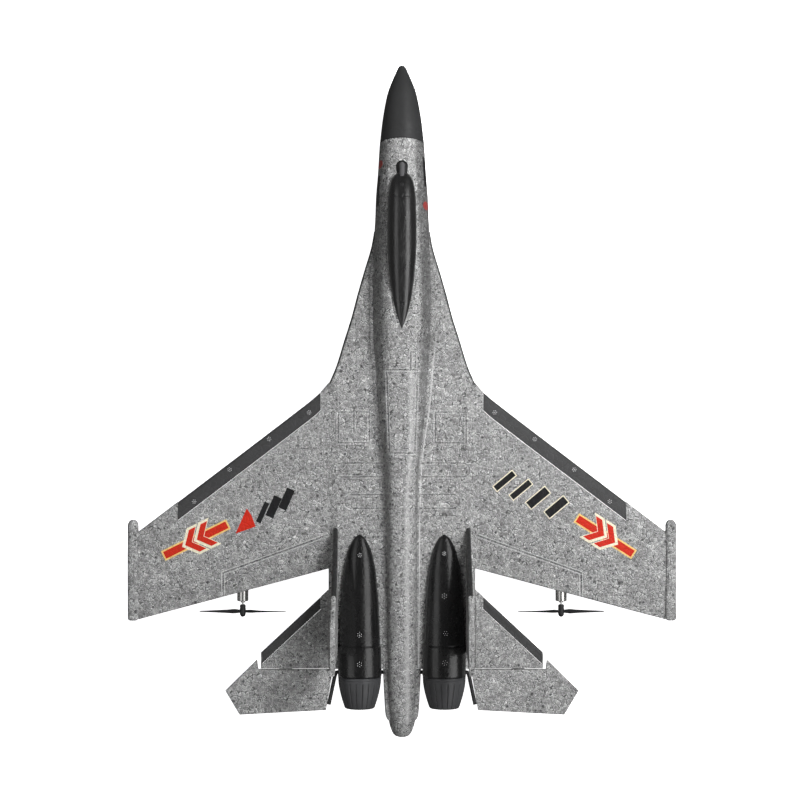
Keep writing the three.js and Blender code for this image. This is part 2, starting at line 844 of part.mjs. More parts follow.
function controlHorn() {
  const bore = rodX(-4, 6, HINGE_S, 0, ROD_R + 0.04);
  return slottedArm(HINGE_S, 0, -HORN_R, [0.7, 2.7, 2.2]).subtract(bore);
}

function servoCase() {
  const body = box(SERVO.x0, SERVO.x1, SERVO.front, SERVO.rear, SERVO.low, SERVO.top);
  const boss = rodX(-2, -0.9, ARM_S, ARM_H, 1.6, 20);
  const ear = box(-7.4, -2.4, SERVO.front - 1.8, SERVO.rear + 2, SERVO.top - 1.2, SERVO.top);
  return body.add(boss).add(ear).subtract(rodX(-3.4, 0, ARM_S, ARM_H, 0.9));
}

// A straight wire with a pin bent to starboard at each end.
function pushrod() {
  const pin = (s) => rodX(-SHAFT_R, 2.7, s, -HORN_R, SHAFT_R, 10);
  return rodY(0, ARM_S, HINGE_S, -HORN_R, SHAFT_R, SHAFT_R, 10).add(pin(ARM_S)).add(pin(HINGE_S));
}

// ---- small equipment ----
function battery() {
  const r = 1.5;
  const w = BATTERY.half - r;
  const t = BATTERY.thick / 2 - r;
  const shape = new THREE.Shape();
  shape.absarc(w, -t, r, -Math.PI / 2, 0);
  shape.absarc(w, t, r, 0, Math.PI / 2);
  shape.absarc(-w, t, r, Math.PI / 2, Math.PI);
  shape.absarc(-w, -t, r, Math.PI, 1.5 * Math.PI);
  const depth = BATTERY.rear - BATTERY.front;
  const g = new THREE.ExtrudeGeometry(shape, { depth, bevelEnabled: false, curveSegments: 4 });
  g.rotateX(Math.PI / 2);
  g.translate(0, py(BATTERY.front), pz(BATTERY.middle));
  return solid(g);
}

function batteryPlug() {
  const shell = box(-3, 3, 159, 165.5, -10.6, -6.6);
  const tongue = box(-2, 2, 165, 168, -10, -7.2);
  return shell.add(tongue);
}

function receiver() {
  const { half, front, rear, low, top } = RECEIVER;
  const board = box(-half, half, front, rear, low, top);
  const chip = box(-3.5, 3.5, front + 8, front + 15, top - 0.2, top + 1);
  const crystal = box(4, 7.4, front + 17, front + 22, top - 0.2, top + 1.4);
  const port = box(-7.8, -3.2, front + 18, front + 24, top - 0.2, top + 2);
  return board.add(chip).add(crystal).add(port);
}

function switchBody() {
  const knobTrack = box(-1.3, 1.3, SWITCH_S - 2.4, SWITCH_S + 2.4, -20, -13);
  return box(-3.4, 3.4, SWITCH_S - SWITCH_HALF, SWITCH_S + SWITCH_HALF, -15.6, -11.8).subtract(knobTrack);
}

// ---- the body and the plate it is cut around ----
// The tail end closes in over its last rings, each a fraction of the full section.
const TAIL_ROUND = 9;
const TAIL_END = [
  [404, 1],
  [LENGTH - TAIL_ROUND - 0.01, 1],
  [LENGTH - 7, 0.94],
  [LENGTH - 5, 0.86],
  [LENGTH - 2.5, 0.72],
  [LENGTH - 0.9, 0.56],
  [LENGTH, 0.3],
];
const tailEnd = solid(loft(TAIL_END.map(([s, shrink]) => bodyRing(s, shrink))));
const whole = bodyLoft(NOSE_JOINT, LENGTH - TAIL_ROUND, 30).add(tailEnd);

function fuselageUpper() {
  const above = box(-FAR, FAR, 40, LENGTH + 10, GAP / 2, FAR);
  const aboveDeck = box(-FAR, FAR, DECK_FRONT - GAP, STINGER_END + GAP, -20, SEAM);
  const behindDeck = box(-FAR, FAR, STINGER_END + GAP, LENGTH + 10, -FAR, FAR);
  const bay = box(-RECEIVER.half - 1, RECEIVER.half + 1, RECEIVER.front - 2, RECEIVER.rear + 2, -5, 8.4);
  return whole
    .intersect(above.add(behindDeck))
    .subtract(aboveDeck)
    .subtract(canopyLoft(GAP))
    .subtract(fairing(GAP))
    .subtract(bay);
}

function fuselageLower() {
  const below = box(-FAR, FAR, 40, STINGER_END + GAP, -FAR, -GAP / 2);
  const belowDeck = box(-FAR, FAR, DECK_FRONT - GAP, LENGTH + 10, -SEAM, 20);
  const hatchHalf = HATCH_HALF + GAP;
  const hatchSeat = box(-hatchHalf, hatchHalf, HATCH_FRONT - GAP, HATCH_REAR + GAP, -30, HATCH_TOP + GAP);
  const { half, front, rear, top } = BATTERY_BAY;
  const batteryBay = box(-half, half, front, rear, HATCH_TOP - 8, top);
  const servoBay = box(SERVO_BAY.x0, SERVO_BAY.x1, SERVO_BAY.front, SERVO_BAY.rear, SERVO_BAY.low, 0);
  const tunnel = rodY(0, SERVO_BAY.rear - 4, HINGE_S + 7, -HORN_R, TUNNEL_R, TUNNEL_R, 12);
  const hornSlot = box(-1.2, 3.8, HINGE_S - 6.6, HINGE_S + 6.6, -8.8, 0);
  const switchEnd = SWITCH_HALF + GAP;
  const switchBay = box(-3.8, 3.8, SWITCH_S - switchEnd, SWITCH_S + switchEnd, -20, -11.4);
  return [belowDeck, hatchSeat, batteryBay, servoBay, tunnel, hornSlot, switchBay].reduce(
    (left, cutter) => left.subtract(cutter),
    whole.intersect(below),
  );
}

function batteryHatch() {
  const cover = box(-HATCH_HALF, HATCH_HALF, HATCH_FRONT, HATCH_REAR, -30, HATCH_TOP);
  const thumbNotch = rodX(-3, 3, HATCH_REAR + 0.6, -18.6, 2.4);
  return whole.intersect(cover).subtract(thumbNotch);
}

// A groove under the plate and the wing for the motor's lead, as rings of [across, height].
const LEAD_GROOVE = [
  [-1.1, -4],
  [1.1, -4],
  [1.1, -0.8],
  [-1.1, -0.8],
];
const LEAD_GROOVE_ENDS = [
  [8, 179.6],
  [99.6, 307.4],
];

function leadGroove() {
  const [from, to] = LEAD_GROOVE_ENDS;
  const run = Math.hypot(to[0] - from[0], to[1] - from[1]);
  const ax = (to[1] - from[1]) / run;
  const as = (from[0] - to[0]) / run;
  const at = (x, s, u, h) => new THREE.Vector3(x + u * ax, py(s + u * as), pz(h));
  const ring = ([x, s]) => LEAD_GROOVE.map(([u, h]) => at(x, s, u, h));
  return solid(loft(LEAD_GROOVE_ENDS.map(ring)));
}

const sparHole = rodX(-SPAR_HALF - 0.6, SPAR_HALF + 0.6, SPAR_S, 0, SPAR_R + GAP, 12);
const groove = leadGroove();

function centreDeck() {
  const hornPocket = box(0.3, 3.1, HINGE_S - 4.6, HINGE_S + 4.6, -5, DECK_HALF - 0.35);
  return deckLoft()
    .subtract(sparHole)
    .subtract(groove)
    .subtract(flip(groove))
    .subtract(rodX(-20, 20, HINGE_S, 0, ROD_HOLE_R))
    .subtract(hornPocket);
}

// ---- assembly ----
const wingWhole = wingLoft().subtract(sparHole).subtract(groove);
const stabWhole = flatLoft(STAB, 2.2, 0.7);
const film = box(FILM.x0, FILM.x1, FILM.front, FILM.rear, -FILM.half, FILM.half);
const filmSlot = box(FILM.x0 - 0.4, FILM.x1 + 0.4, FILM.front - 0.4, FILM.rear + 0.4, -0.45, 0.45);
const finWhole = fin();
const fairingFoot = box(-9, 9, NOSE_JOINT, 80, 0, 13);

add("nose_cone", noseCone(), NOSE_PLASTIC);
add("fuselage_upper", fuselageUpper(), FOAM);
add("fuselage_lower", fuselageLower(), FOAM);
add("centre_deck", centreDeck(), FOAM);
add("canopy", canopyLoft(0), GLOSS_BLACK);
add("sensor_fairing", fairing(0).subtract(fairingFoot).subtract(canopyLoft(GAP)), GLOSS_BLACK);
addPair("wing", wingWhole.subtract(stripRegion(WING_STRIP, -STRIP_GAP)), FOAM);
addPair("wing_edge_strip", wingWhole.intersect(stripRegion(WING_STRIP, STRIP_GAP)), DARK_FOAM);
addPair("stabiliser", stabWhole.subtract(stripRegion(TAIL_STRIP, -STRIP_GAP)).subtract(filmSlot), FOAM);
addPair("tail_edge_strip", stabWhole.intersect(stripRegion(TAIL_STRIP, STRIP_GAP)), DARK_FOAM);
addPair("elevator", elevator().subtract(filmSlot), FOAM);
addPair("hinge_film", film, CLEAR_FILM);
addPair("fin", finWhole.subtract(finStripRegion(-STRIP_GAP)), FOAM);
addPair("fin_edge_strip", finWhole.intersect(finStripRegion(STRIP_GAP)), DARK_FOAM);
addPair("nacelle_cover", nacelleCover(), GLOSS_BLACK);
addPair("nozzle", nozzle(), MATT_BLACK);
addPair("intake_trunk", intakeTrunk(), FOAM);
addPair("motor_mount", motorMount(), BLACK_PLASTIC);
addPair("motor_can", motorCan(), STEEL);
addPair("motor_shaft", motorShaft(), STEEL);
addPair("motor_lead", wire(LEAD_PATH, LEAD_R, 14, 6), LEAD_RED);
addPair("propeller", propeller(), BLACK_PLASTIC);

addPair("wingtip_rail", tipRail(), FOAM);

add("wing_spar", rodX(-SPAR_HALF, SPAR_HALF, SPAR_S, 0, SPAR_R, 12), CARBON);
add("battery", battery(), BATTERY_WRAP);
add("battery_plug", batteryPlug(), WHITE_PLASTIC);
add("receiver_board", receiver(), BOARD_GREEN);
add("servo_case", servoCase(), BLACK_PLASTIC);
add("servo_arm", servoArm(), WHITE_PLASTIC);
add("pushrod", pushrod(), STEEL);
add("elevator_joiner", joiner(), BLACK_PLASTIC);
add("control_horn", controlHorn(), WHITE_PLASTIC);
add("battery_hatch", batteryHatch(), FOAM);
add("switch_body", switchBody(), BLACK_PLASTIC);
add("switch_knob", box(-1, 1, SWITCH_S + 0.1, SWITCH_S + 2.1, -17.6, -13.3), WHITE_PLASTIC);

export default group;
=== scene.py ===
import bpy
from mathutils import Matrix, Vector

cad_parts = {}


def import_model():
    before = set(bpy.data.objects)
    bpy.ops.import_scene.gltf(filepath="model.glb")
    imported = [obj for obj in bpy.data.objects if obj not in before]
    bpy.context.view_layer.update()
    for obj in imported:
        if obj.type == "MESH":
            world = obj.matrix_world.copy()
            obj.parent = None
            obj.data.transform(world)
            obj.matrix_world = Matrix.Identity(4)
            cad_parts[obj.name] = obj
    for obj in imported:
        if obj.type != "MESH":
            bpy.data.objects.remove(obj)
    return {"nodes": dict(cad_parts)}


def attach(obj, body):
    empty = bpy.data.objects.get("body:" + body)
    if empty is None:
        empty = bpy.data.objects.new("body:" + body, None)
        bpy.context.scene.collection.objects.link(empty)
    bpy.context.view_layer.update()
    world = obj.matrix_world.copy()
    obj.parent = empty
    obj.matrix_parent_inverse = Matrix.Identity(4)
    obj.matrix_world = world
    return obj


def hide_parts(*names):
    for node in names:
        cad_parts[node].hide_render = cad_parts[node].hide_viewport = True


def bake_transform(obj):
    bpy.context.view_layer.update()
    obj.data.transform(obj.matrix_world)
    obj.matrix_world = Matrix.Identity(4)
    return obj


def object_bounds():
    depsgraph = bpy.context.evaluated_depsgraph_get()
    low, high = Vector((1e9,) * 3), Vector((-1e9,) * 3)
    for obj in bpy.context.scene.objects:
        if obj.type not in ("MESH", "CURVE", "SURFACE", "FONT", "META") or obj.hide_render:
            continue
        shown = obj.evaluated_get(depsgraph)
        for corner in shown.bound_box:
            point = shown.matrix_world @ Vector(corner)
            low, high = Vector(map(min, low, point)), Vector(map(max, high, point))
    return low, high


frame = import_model()
cad_box = [list(v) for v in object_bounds()]

import math
import random

import bpy
import numpy as np
from mathutils import Vector

# ---------------------------------------------------------------- frame
# s runs aft from the nose tip and h up from the wing plane, both in millimetres.
MM = 0.001
LENGTH = (cad_box[1][1] - cad_box[0][1]) / MM
NOSE_Y = cad_box[1][1] / MM
DECK_Z = 25.0
ROOT_X = 45.5
DECK_HALF = 3.0
NOSE_JOINT = 50.0
DECK_FRONT = 104.0
DECK_REAR = 374.6
STINGER_END = 408.0
HINGE_S = 377.0
WING_BOTTOM = -2.2
MOTOR_X = 99.2
MOTOR_Z = -6.4
NACELLE_X = 26.2
FIN_X = 41.0
FIN_HALF = 1.5
FIN_TOP = 56.0
SEAM = 3.3
LIP_AWAY = 0.85
LIP_WIDE = 0.34
LINE_REACH = 2.2
SIDES = ((1, "right"), (-1, "left"))


def world(points):
    p = np.asarray(points, float)
    out = np.empty_like(p)
    out[..., 0] = p[..., 0] * MM
    out[..., 1] = (NOSE_Y - p[..., 1]) * MM
    out[..., 2] = (DECK_Z + p[..., 2]) * MM
    return out


def table(rows):
    """Smooth monotone reading of rows of [s, value, ...]."""
    a = np.array(rows, float)
    xs, ys = a[:, 0], a[:, 1:]
    d = np.diff(ys, axis=0) / np.diff(xs)[:, None]
    m = np.zeros_like(ys)
    m[0], m[-1] = d[0], d[-1]
    mid = (ys[2:] - ys[:-2]) / (xs[2:] - xs[:-2])[:, None]
    cap = 2 * np.minimum(np.abs(d[:-1]), np.abs(d[1:]))
    m[1:-1] = np.where(d[:-1] * d[1:] > 0, np.sign(mid) * np.minimum(np.abs(mid), cap), 0)

    def read(s, k=0):
        s = np.clip(np.asarray(s, float), xs[0], xs[-1])
        i = np.clip(np.searchsorted(xs, s, side="right") - 1, 0, len(xs) - 2)
        w = xs[i + 1] - xs[i]
        t = (s - xs[i]) / w
        a0 = (2 * t**3 - 3 * t**2 + 1) * ys[i, k] + (t**3 - 2 * t**2 + t) * m[i, k] * w
        return a0 + (3 * t**2 - 2 * t**3) * ys[i + 1, k] + (t**3 - t**2) * m[i + 1, k] * w

    return read


def smooth(a, b, x):
    t = np.clip((np.asarray(x, float) - a) / (b - a), 0, 1)
    return t * t * (3 - 2 * t)


def spow(v, e):
    return np.sign(v) * np.abs(v) ** e


def bell(d, width):
    """1 at d = 0, falling away over about a width on both sides."""
    return np.exp(-((d / width) ** 2))


def dome(left, least=0.0):
    """Height of a quarter circle; left is the way still to go to its top, 1 at the rim."""
    return np.sqrt(np.maximum(least, 1 - np.maximum(0, left) ** 2))


def eased(n):
    """n steps from 0 to 1 that start close together, for the stations of a rounded end."""
    return 1 - np.cos(np.linspace(0, math.pi / 2, n))


def angles(n):
    """n angles evenly round a circle."""
    return np.linspace(0, 2 * math.pi, n, endpoint=False)


def ring(x, s, h):
    """A line of points at station s."""
    return np.stack([x, np.full(len(x), s), h], -1)


def sided(rings, side):
    """Rings as they are for side 1, mirrored to the left for side -1."""
    return np.asarray(rings) * [side, 1, 1]


def segment_distance(x, s, a, b):
    ax, as_, bx, bs = a[0], a[1], b[0], b[1]
    dx, ds = bx - ax, bs - as_
    t = np.clip(((x - ax) * dx + (s - as_) * ds) / (dx * dx + ds * ds), 0, 1)
    return np.hypot(x - ax - t * dx, s - as_ - t * ds)


def groove(x, s, lines, depth=0.4, width=0.32):
    """Engraved lines at points x, s: a fine cut with a raised lip on both sides, above zero in the cut.
    lines are [(x, s), (x, s), ...] chains."""
    cut = np.zeros(np.broadcast(x, s).shape)
    for line in lines:
        for a, b in zip(line[:-1], line[1:]):
            near = segment_distance(x, s, a, b)
            shape = bell(near, width) - 0.55 * bell(near - LIP_AWAY, LIP_WIDE)
            cut = np.where((near < LINE_REACH) & (np.abs(shape) > np.abs(cut)), shape, cut)
    return depth * cut


def around(marks, lo, hi, step):
    """Stations from lo to hi, with closer ones at the marks."""
    near = [m + d for m in marks for d in (-1.3, -0.95, -0.6, -0.3, 0, 0.3, 0.6, 0.95, 1.3)]
    both = np.unique(np.round(np.r_[np.arange(lo, hi, step), [n for n in near if lo < n < hi], hi], 3))
    gaps = np.r_[1, np.diff(both)]
    least_gap = 0.14
    return both[(gaps > least_gap) | np.isin(both, np.r_[marks, lo, hi])]


def groove_painted_light(rings, lines, above):
    """The engraving at each point that lies above a height, for the painted shade in the cut and the painted
    highlight on its lips.
    """
    return groove(rings[..., 0], rings[..., 1], lines, 1.0) * (rings[..., 2] > above)


# ---------------------------------------------------------------- mesh building
def piece(name, verts, faces, body, material, nodes=(), angle=38, line=None, shade=None):
    me = bpy.data.meshes.new(name)
    v = world(verts)
    me.from_pydata(v.tolist(), [], [list(map(int, f)) for f in faces])
    me.validate()
    me.update()
    # outward facing
    me.calc_loop_triangles()
    tri = np.empty(len(me.loop_triangles) * 3, np.int32)
    me.loop_triangles.foreach_get("vertices", tri)
    co = np.empty(len(me.vertices) * 3)
    me.vertices.foreach_get("co", co)
    co = co.reshape(-1, 3)
    t = co[tri.reshape(-1, 3)]
    vol = np.einsum("ij,ij->i", t[:, 0], np.cross(t[:, 1], t[:, 2])).sum()
    if vol < 0:
        me.flip_normals()
    me.polygons.foreach_set("use_smooth", np.ones(len(me.polygons), bool))
    me.set_sharp_from_angle(angle=math.radians(angle))
    for key, values in (("line", line), ("shade", shade)):
        if values is not None:
            data = me.attributes.new(key, "FLOAT", "POINT").data
            data.foreach_set("value", np.ravel(values).astype(np.float32))
    o = bpy.data.objects.new(name, me)
    bpy.context.scene.collection.objects.link(o)
    if material:
        me.materials.append(material)
    if body:
        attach(o, body)
    if nodes:
        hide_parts(*nodes)
    return o


def ring_faces(n, m, start=0, caps=True):
    i, j = np.meshgrid(np.arange(n - 1), np.arange(m), indexing="ij")
    a = i * m + j
    b = i * m + (j + 1) % m
    quads = np.stack([a, b, b + m, a + m], -1).reshape(-1, 4) + start
    faces = quads.tolist()
    if caps:
        faces.append([start + k for k in range(m)][::-1])
        faces.append([start + (n - 1) * m + k for k in range(m)])
    return faces


def lofts(name, ring_sets, body, material, nodes=(), angle=38, caps=True, line=None, shade=None):
    """One object from one or more stacks of rings, each an (n, m, 3) array in x, s, h."""
    verts, faces = [], []
    for rings in ring_sets:
        rings = np.asarray(rings, float)
        faces += ring_faces(rings.shape[0], rings.shape[1], len(verts), caps)
        verts += rings.reshape(-1, 3).tolist()
    return piece(name, np.array(verts), faces, body, material, nodes, angle, line, shade)


def grid_faces(n, m, start=0):
    i, j = np.meshgrid(np.arange(n - 1), np.arange(m - 1), indexing="ij")
    a = i * m + j
    return (np.stack([a, a + 1, a + m + 1, a + m], -1).reshape(-1, 4) + start).tolist()


def box_cutter(x0, x1, s0, s1, h0, h1):
    corners = [[x, s, h] for x in (x0, x1) for s in (s0, s1) for h in (h0, h1)]
    faces = [[0, 1, 3, 2], [4, 6, 7, 5], [0, 4, 5, 1], [2, 3, 7, 6], [0, 2, 6, 4], [1, 5, 7, 3]]
    return piece("cutter", np.array(corners), faces, None, None)


def rod_cutter(p, q, r, sides=32):
    """Round cutter between two x, s, h points."""
    p, q = np.array(p, float), np.array(q, float)
    d = (q - p) / np.linalg.norm(q - p)
    u = np.cross(d, [0, 0, 1.0] if abs(d[2]) < 0.9 else [1.0, 0, 0])
    u /= np.linalg.norm(u)
    w = np.cross(d, u)
    a = angles(sides)
    circle = r * (np.cos(a)[:, None] * u + np.sin(a)[:, None] * w)
    rings = np.stack([circle + p, circle + q])
    return lofts("cutter", [rings], None, None)


def cut(o, cutters, keep=False, angle=38):
    """Cuts the cutters out of o, or keeps only what lies in them."""
    for c in cutters:
        m = o.modifiers.new("cut", "BOOLEAN")
        m.operation = "INTERSECT" if keep else "DIFFERENCE"
        m.solver = "EXACT"
        m.object = c
    deps = bpy.context.evaluated_depsgraph_get()
    me = bpy.data.meshes.new_from_object(o.evaluated_get(deps))
    o.modifiers.clear()
    old = o.data
    me.name = old.name + "_cut"
    o.data = me
    bpy.data.meshes.remove(old)
    for c in cutters:
        data = c.data
        bpy.data.objects.remove(c)
        bpy.data.meshes.remove(data)
    me.polygons.foreach_set("use_smooth", np.ones(len(me.polygons), bool))
    me.set_sharp_from_angle(angle=math.radians(angle))
    return o


def tube_rings(path, r, sides):
    """Rings of a round bar through x, s, h points, turning with little twist."""
    p = np.array(path, float)
    d = np.gradient(p, axis=0)
    d /= np.linalg.norm(d, axis=1)[:, None]
    u = np.cross(d[0], [0.0, 0.0, 1.0])
    a = angles(sides)
    rings = []
    for k in range(len(p)):
        u = u - d[k] * np.dot(u, d[k])
        u /= np.linalg.norm(u)
        w = np.cross(d[k], u)
        rings.append(p[k] + r * (np.cos(a)[:, None] * u + np.sin(a)[:, None] * w))
    return np.array(rings)


def spline(points, count):
    """Smooth path through points, evenly sampled."""
    p = np.array(points, float)
    t = np.r_[0, np.cumsum(np.linalg.norm(np.diff(p, axis=0), axis=1))]
    read = [table(np.c_[t, p[:, k]]) for k in range(3)]
    u = np.linspace(0, t[-1], count)
    return np.stack([r(u) for r in read], -1)


def turned_rings(x, h, profile, sides):
    """Rings along a turned profile of [s, r] rows about a fore-aft line."""
    a = angles(sides)
    return np.array([ring(x + r * np.cos(a), s, h + r * np.sin(a)) for s, r in profile])


# ---------------------------------------------------------------- materials
BEAD_WARP = 0.0016


def grey(v):
    return (v, v, v, 1)


def scaled(color, k):
    return tuple(k * v for v in color) + (1,)


class Tree:
    """Short way to make and link shader nodes."""

    def __init__(self, name):
        self.material = bpy.data.materials.new(name)
        self.material.use_nodes = True
        self.tree = self.material.node_tree
        self.tree.nodes.clear()
        self.out = self.tree.nodes.new("ShaderNodeOutputMaterial")
        self.shader = self.tree.nodes.new("ShaderNodeBsdfPrincipled")
        self.link(self.shader.outputs[0], self.out.inputs[0])
        self.place = self.node("ShaderNodeTexCoord").outputs["Object"]

    def node(self, kind, **settings):
        n = self.tree.nodes.new(kind)
        for k, v in settings.items():
            setattr(n, k, v)
        return n

    def link(self, a, b):
        self.tree.links.new(a, b)

    def put(self, socket, value):
        if isinstance(value, bpy.types.NodeSocket):
            self.link(value, socket)
        else:
            socket.default_value = value

    def math(self, op, a, b, clamp=False):
        n = self.node("ShaderNodeMath", operation=op, use_clamp=clamp)
        self.put(n.inputs[0], a)
        self.put(n.inputs[1], b)
        return n.outputs[0]

    def mix(self, f, a, b, blend="MIX"):
        n = self.node("ShaderNodeMix", data_type="RGBA", blend_type=blend)
        self.put(n.inputs[0], f)
        self.put(n.inputs[6], a)
        self.put(n.inputs[7], b)
        return n.outputs[2]

    def times(self, a, b):
        """Two colours multiplied."""
        return self.mix(1.0, a, b, "MULTIPLY")

    def ramp(self, f, *stops, mode="LINEAR"):
        """Grey levels at stops of (position, level)."""
        n = self.node("ShaderNodeValToRGB")
        n.color_ramp.interpolation = mode
        while len(n.color_ramp.elements) < len(stops):
            n.color_ramp.elements.new(0.5)
        for e, (p, v) in zip(n.color_ramp.elements, stops):
            e.position = p
            e.color = grey(v)
        self.put(n.inputs[0], f)
        return n.outputs[0]

    def noise(self, scale, detail=3.0, rough=0.55, place=None):
        n = self.node("ShaderNodeTexNoise")
        n.inputs["Scale"].default_value = scale
        n.inputs["Detail"].default_value = detail
        n.inputs["Roughness"].default_value = rough
        self.link(place or self.place, n.inputs["Vector"])
        return n.outputs

    def patches(self, scale, detail, rough, *stops):
        """Noise read through a ramp."""
        return self.ramp(self.noise(scale, detail, rough)["Fac"], *stops)

    def streaks(self, stretch, scale, detail, rough):
        """Noise stretched by a factor along each axis."""
        n = self.node("ShaderNodeMapping")
        n.inputs["Scale"].default_value = stretch
        self.link(self.place, n.inputs[0])
        return self.noise(scale, detail, rough, n.outputs[0])["Fac"]

    def voronoi(self, scale, feature="F1", place=None, rand=1.0):
        n = self.node("ShaderNodeTexVoronoi", feature=feature)
        n.inputs["Scale"].default_value = scale
        n.inputs["Randomness"].default_value = rand
        self.link(place or self.place, n.inputs["Vector"])
        return n.outputs

    def warped(self, scale, amount):
        """Coordinates pushed about by noise, amount in metres."""
        v = self.node("ShaderNodeVectorMath", operation="SUBTRACT")
        self.link(self.noise(scale, 2.0)["Color"], v.inputs[0])
        v.inputs[1].default_value = (0.5, 0.5, 0.5)
        w = self.node("ShaderNodeVectorMath", operation="MULTIPLY_ADD")
        self.link(v.outputs[0], w.inputs[0])
        w.inputs[1].default_value = (amount, amount, amount)
        self.link(self.place, w.inputs[2])
        return w.outputs[0]

    def beads(self, scale, warp):
        """Packed beads: the distance to the joints, and each bead's own cell and random values."""
        place = self.warped(warp, BEAD_WARP)
        edge = self.voronoi(scale, "DISTANCE_TO_EDGE", place)["Distance"]
        cell = self.voronoi(scale, "F1", place)
        tone = self.node("ShaderNodeSeparateColor")
        self.link(cell["Color"], tone.inputs[0])
        return edge, cell["Distance"], tone.outputs

    def painted(self, name):
        """A value stored at the mesh's points."""
        return self.node("ShaderNodeAttribute", attribute_name=name).outputs["Fac"]

    def bump(self, height, strength, distance, below=None):
        n = self.node("ShaderNodeBump")
        n.inputs["Strength"].default_value = strength
        n.inputs["Distance"].default_value = distance
        self.put(n.inputs["Height"], height)
        if below is not None:
            self.link(below, n.inputs["Normal"])
        return n.outputs[0]

    def done(self, color, rough, metal, normal, **sockets):
        s = self.shader.inputs
        self.put(s["Base Color"], color)
        self.put(s["Roughness"], rough)
        s["Metallic"].default_value = metal
        if normal is not None:
            self.link(normal, s["Normal"])
        for k, v in sockets.items():
            s[k.replace("_", " ")].default_value = v
        return self.material


def foam(name, base, bead=390.0):
    """Moulded bead foam, airbrushed grey: packed beads with pale rims painted as highlights, fine grain and
    dark pits, plus painted shade and highlight wherever the mesh carries line and shade values.
    """
    t = Tree(name)
    edge, heart, tone = t.beads(bead, 300.0)
    # each bead its own tone, darker at its heart
    own = t.ramp(tone[0], (0.0, 0.84), (0.5, 1.0), (1.0, 1.16))
    v = t.times(own, t.ramp(heart, (0.1, 0.78), (0.5, 1.06)))
    # a broken pale rim, a painted highlight along each bead's raised edge, inside a thin dark joint
    broken = t.patches(bead * 1.1, 2.0, 0.6, (0.38, 0.1), (0.54, 1.0))
    rim = t.ramp(edge, (0.0, 0.3), (0.04, 0.42), (0.1, 1.95), (0.18, 1.35), (0.28, 1.0))
    v = t.mix(broken, v, t.times(v, rim))
    # grain of about a millimetre, and a tone that drifts over a few beads
    v = t.times(v, t.patches(bead * 1.5, 4.0, 0.72, (0.3, 0.46), (0.5, 1.0), (0.7, 1.58)))
    v = t.times(v, t.patches(bead * 0.32, 4.0, 0.62, (0.3, 0.8), (0.7, 1.17)))
    # a few beads carry a dark pit, and dust-like dark flecks lie between them
    pit = t.math("MULTIPLY", t.math("LESS_THAN", tone[1], 0.095), t.ramp(heart, (0.22, 1.0), (0.4, 0.0)))
    pit = t.math("MULTIPLY", pit, t.patches(bead * 3.0, 2.0, 0.55, (0.3, 0.4), (0.55, 1.0)))
    flecks = t.math("MULTIPLY", t.patches(bead * 1.25, 3.0, 0.66, (0.6, 0.0), (0.68, 0.95)),
                    t.patches(bead * 0.25, 2.0, 0.55, (0.45, 0.25), (0.65, 1.0)))
    dark = t.math("MAXIMUM", t.math("MULTIPLY", pit, 0.95), t.math("MULTIPLY", flecks, 0.75))
    color = t.times(v, (base, base * 1.004, base, 1))
    color = t.mix(dark, color, (base * 0.2, base * 0.2, base * 0.21, 1))
    # painted shade in the engraved lines, and a painted highlight on the lips beside them and wherever the line
    # value is below zero
    line = t.painted("line")
    color = t.mix(t.ramp(line, (0.2, 0.0), (0.8, 0.42)), color, grey(base * 0.16))
    painted_lip_highlight = t.ramp(t.math("MULTIPLY", line, -1.0), (0.1, 0.0), (0.45, 0.66))
    color = t.mix(painted_lip_highlight, color, grey(base * 2.3))
    # painted shade where a shade value is set, streaky at its borders
    shade_streak = t.patches(bead * 0.9, 4.0, 0.7, (0.3, 0.6), (0.65, 1.15))
    color = t.mix(t.math("MULTIPLY", t.painted("shade"), shade_streak, True), color, grey(base * 0.12))
    b = t.bump(t.ramp(edge, (0.0, 0.0), (0.12, 0.62), (0.4, 1.0), mode="EASE"), 0.5, 0.0005)
    b = t.bump(t.noise(bead * 1.9, 4.0, 0.72)["Fac"], 0.5, 0.0005, b)
    b = t.bump(pit, -0.4, 0.0006, b)
    rough = t.patches(bead, 2.0, 0.55, (0.3, 0.43), (0.7, 0.67))
    return t.done(color, rough, 0.0, b, Specular_IOR_Level=0.42)


def painted_foam(name, base, rough, relief, contrast=0.1, coat=0.0, spec=0.5, coat_rough=0.12):
    """Foam under a skin of dark paint or film: beads only ghost through it."""
    t = Tree(name)
    edge, _, tone = t.beads(300.0, 260.0)
    rim = t.ramp(edge, (0.0, 0.8), (0.07, 1.25), (0.25, 1.0))
    own = t.ramp(tone[0], (0.0, 1 - contrast), (1.0, 1 + contrast))
    v = t.times(t.mix(0.5, rim, own, "MULTIPLY"), (base, base, base * 1.02, 1))
    b = t.bump(t.ramp(edge, (0.0, 0.0), (0.15, 0.8), (0.4, 1.0), mode="EASE"), 0.35 * relief, 0.0003)
    b = t.bump(t.noise(900.0, 3.0, 0.6)["Fac"], 0.25 * relief, 0.00015, b)
    b = t.bump(t.noise(120.0, 2.0, 0.5)["Fac"], 0.3 * relief, 0.0006, b)
    smear = t.patches(90.0, 4.0, 0.6, (0.3, rough - 0.08), (0.7, rough + 0.1))
    return t.done(v, smear, 0.0, b, Specular_IOR_Level=spec, Coat_Weight=coat, Coat_Roughness=coat_rough)


def plastic(name, color, rough, grain, relief, groove_shade=0.0):
    """Moulded plastic with a fine grain; its last argument paints shade into its engraved lines."""
    t = Tree(name)
    c = t.times(t.patches(60.0, 3.0, 0.55, (0.3, 0.9), (0.7, 1.08)), (*color, 1))
    if groove_shade:
        c = t.mix(t.ramp(t.painted("line"), (0.1, 0.0), (0.8, groove_shade)), c, scaled(color, 0.15))
    r = t.patches(200.0, 4.0, 0.55, (0.3, rough - 0.07), (0.7, rough + 0.09))
    return t.done(c, r, 0.0, t.bump(t.noise(grain, 3.0, 0.6)["Fac"], relief, 0.0001), Specular_IOR_Level=0.5)


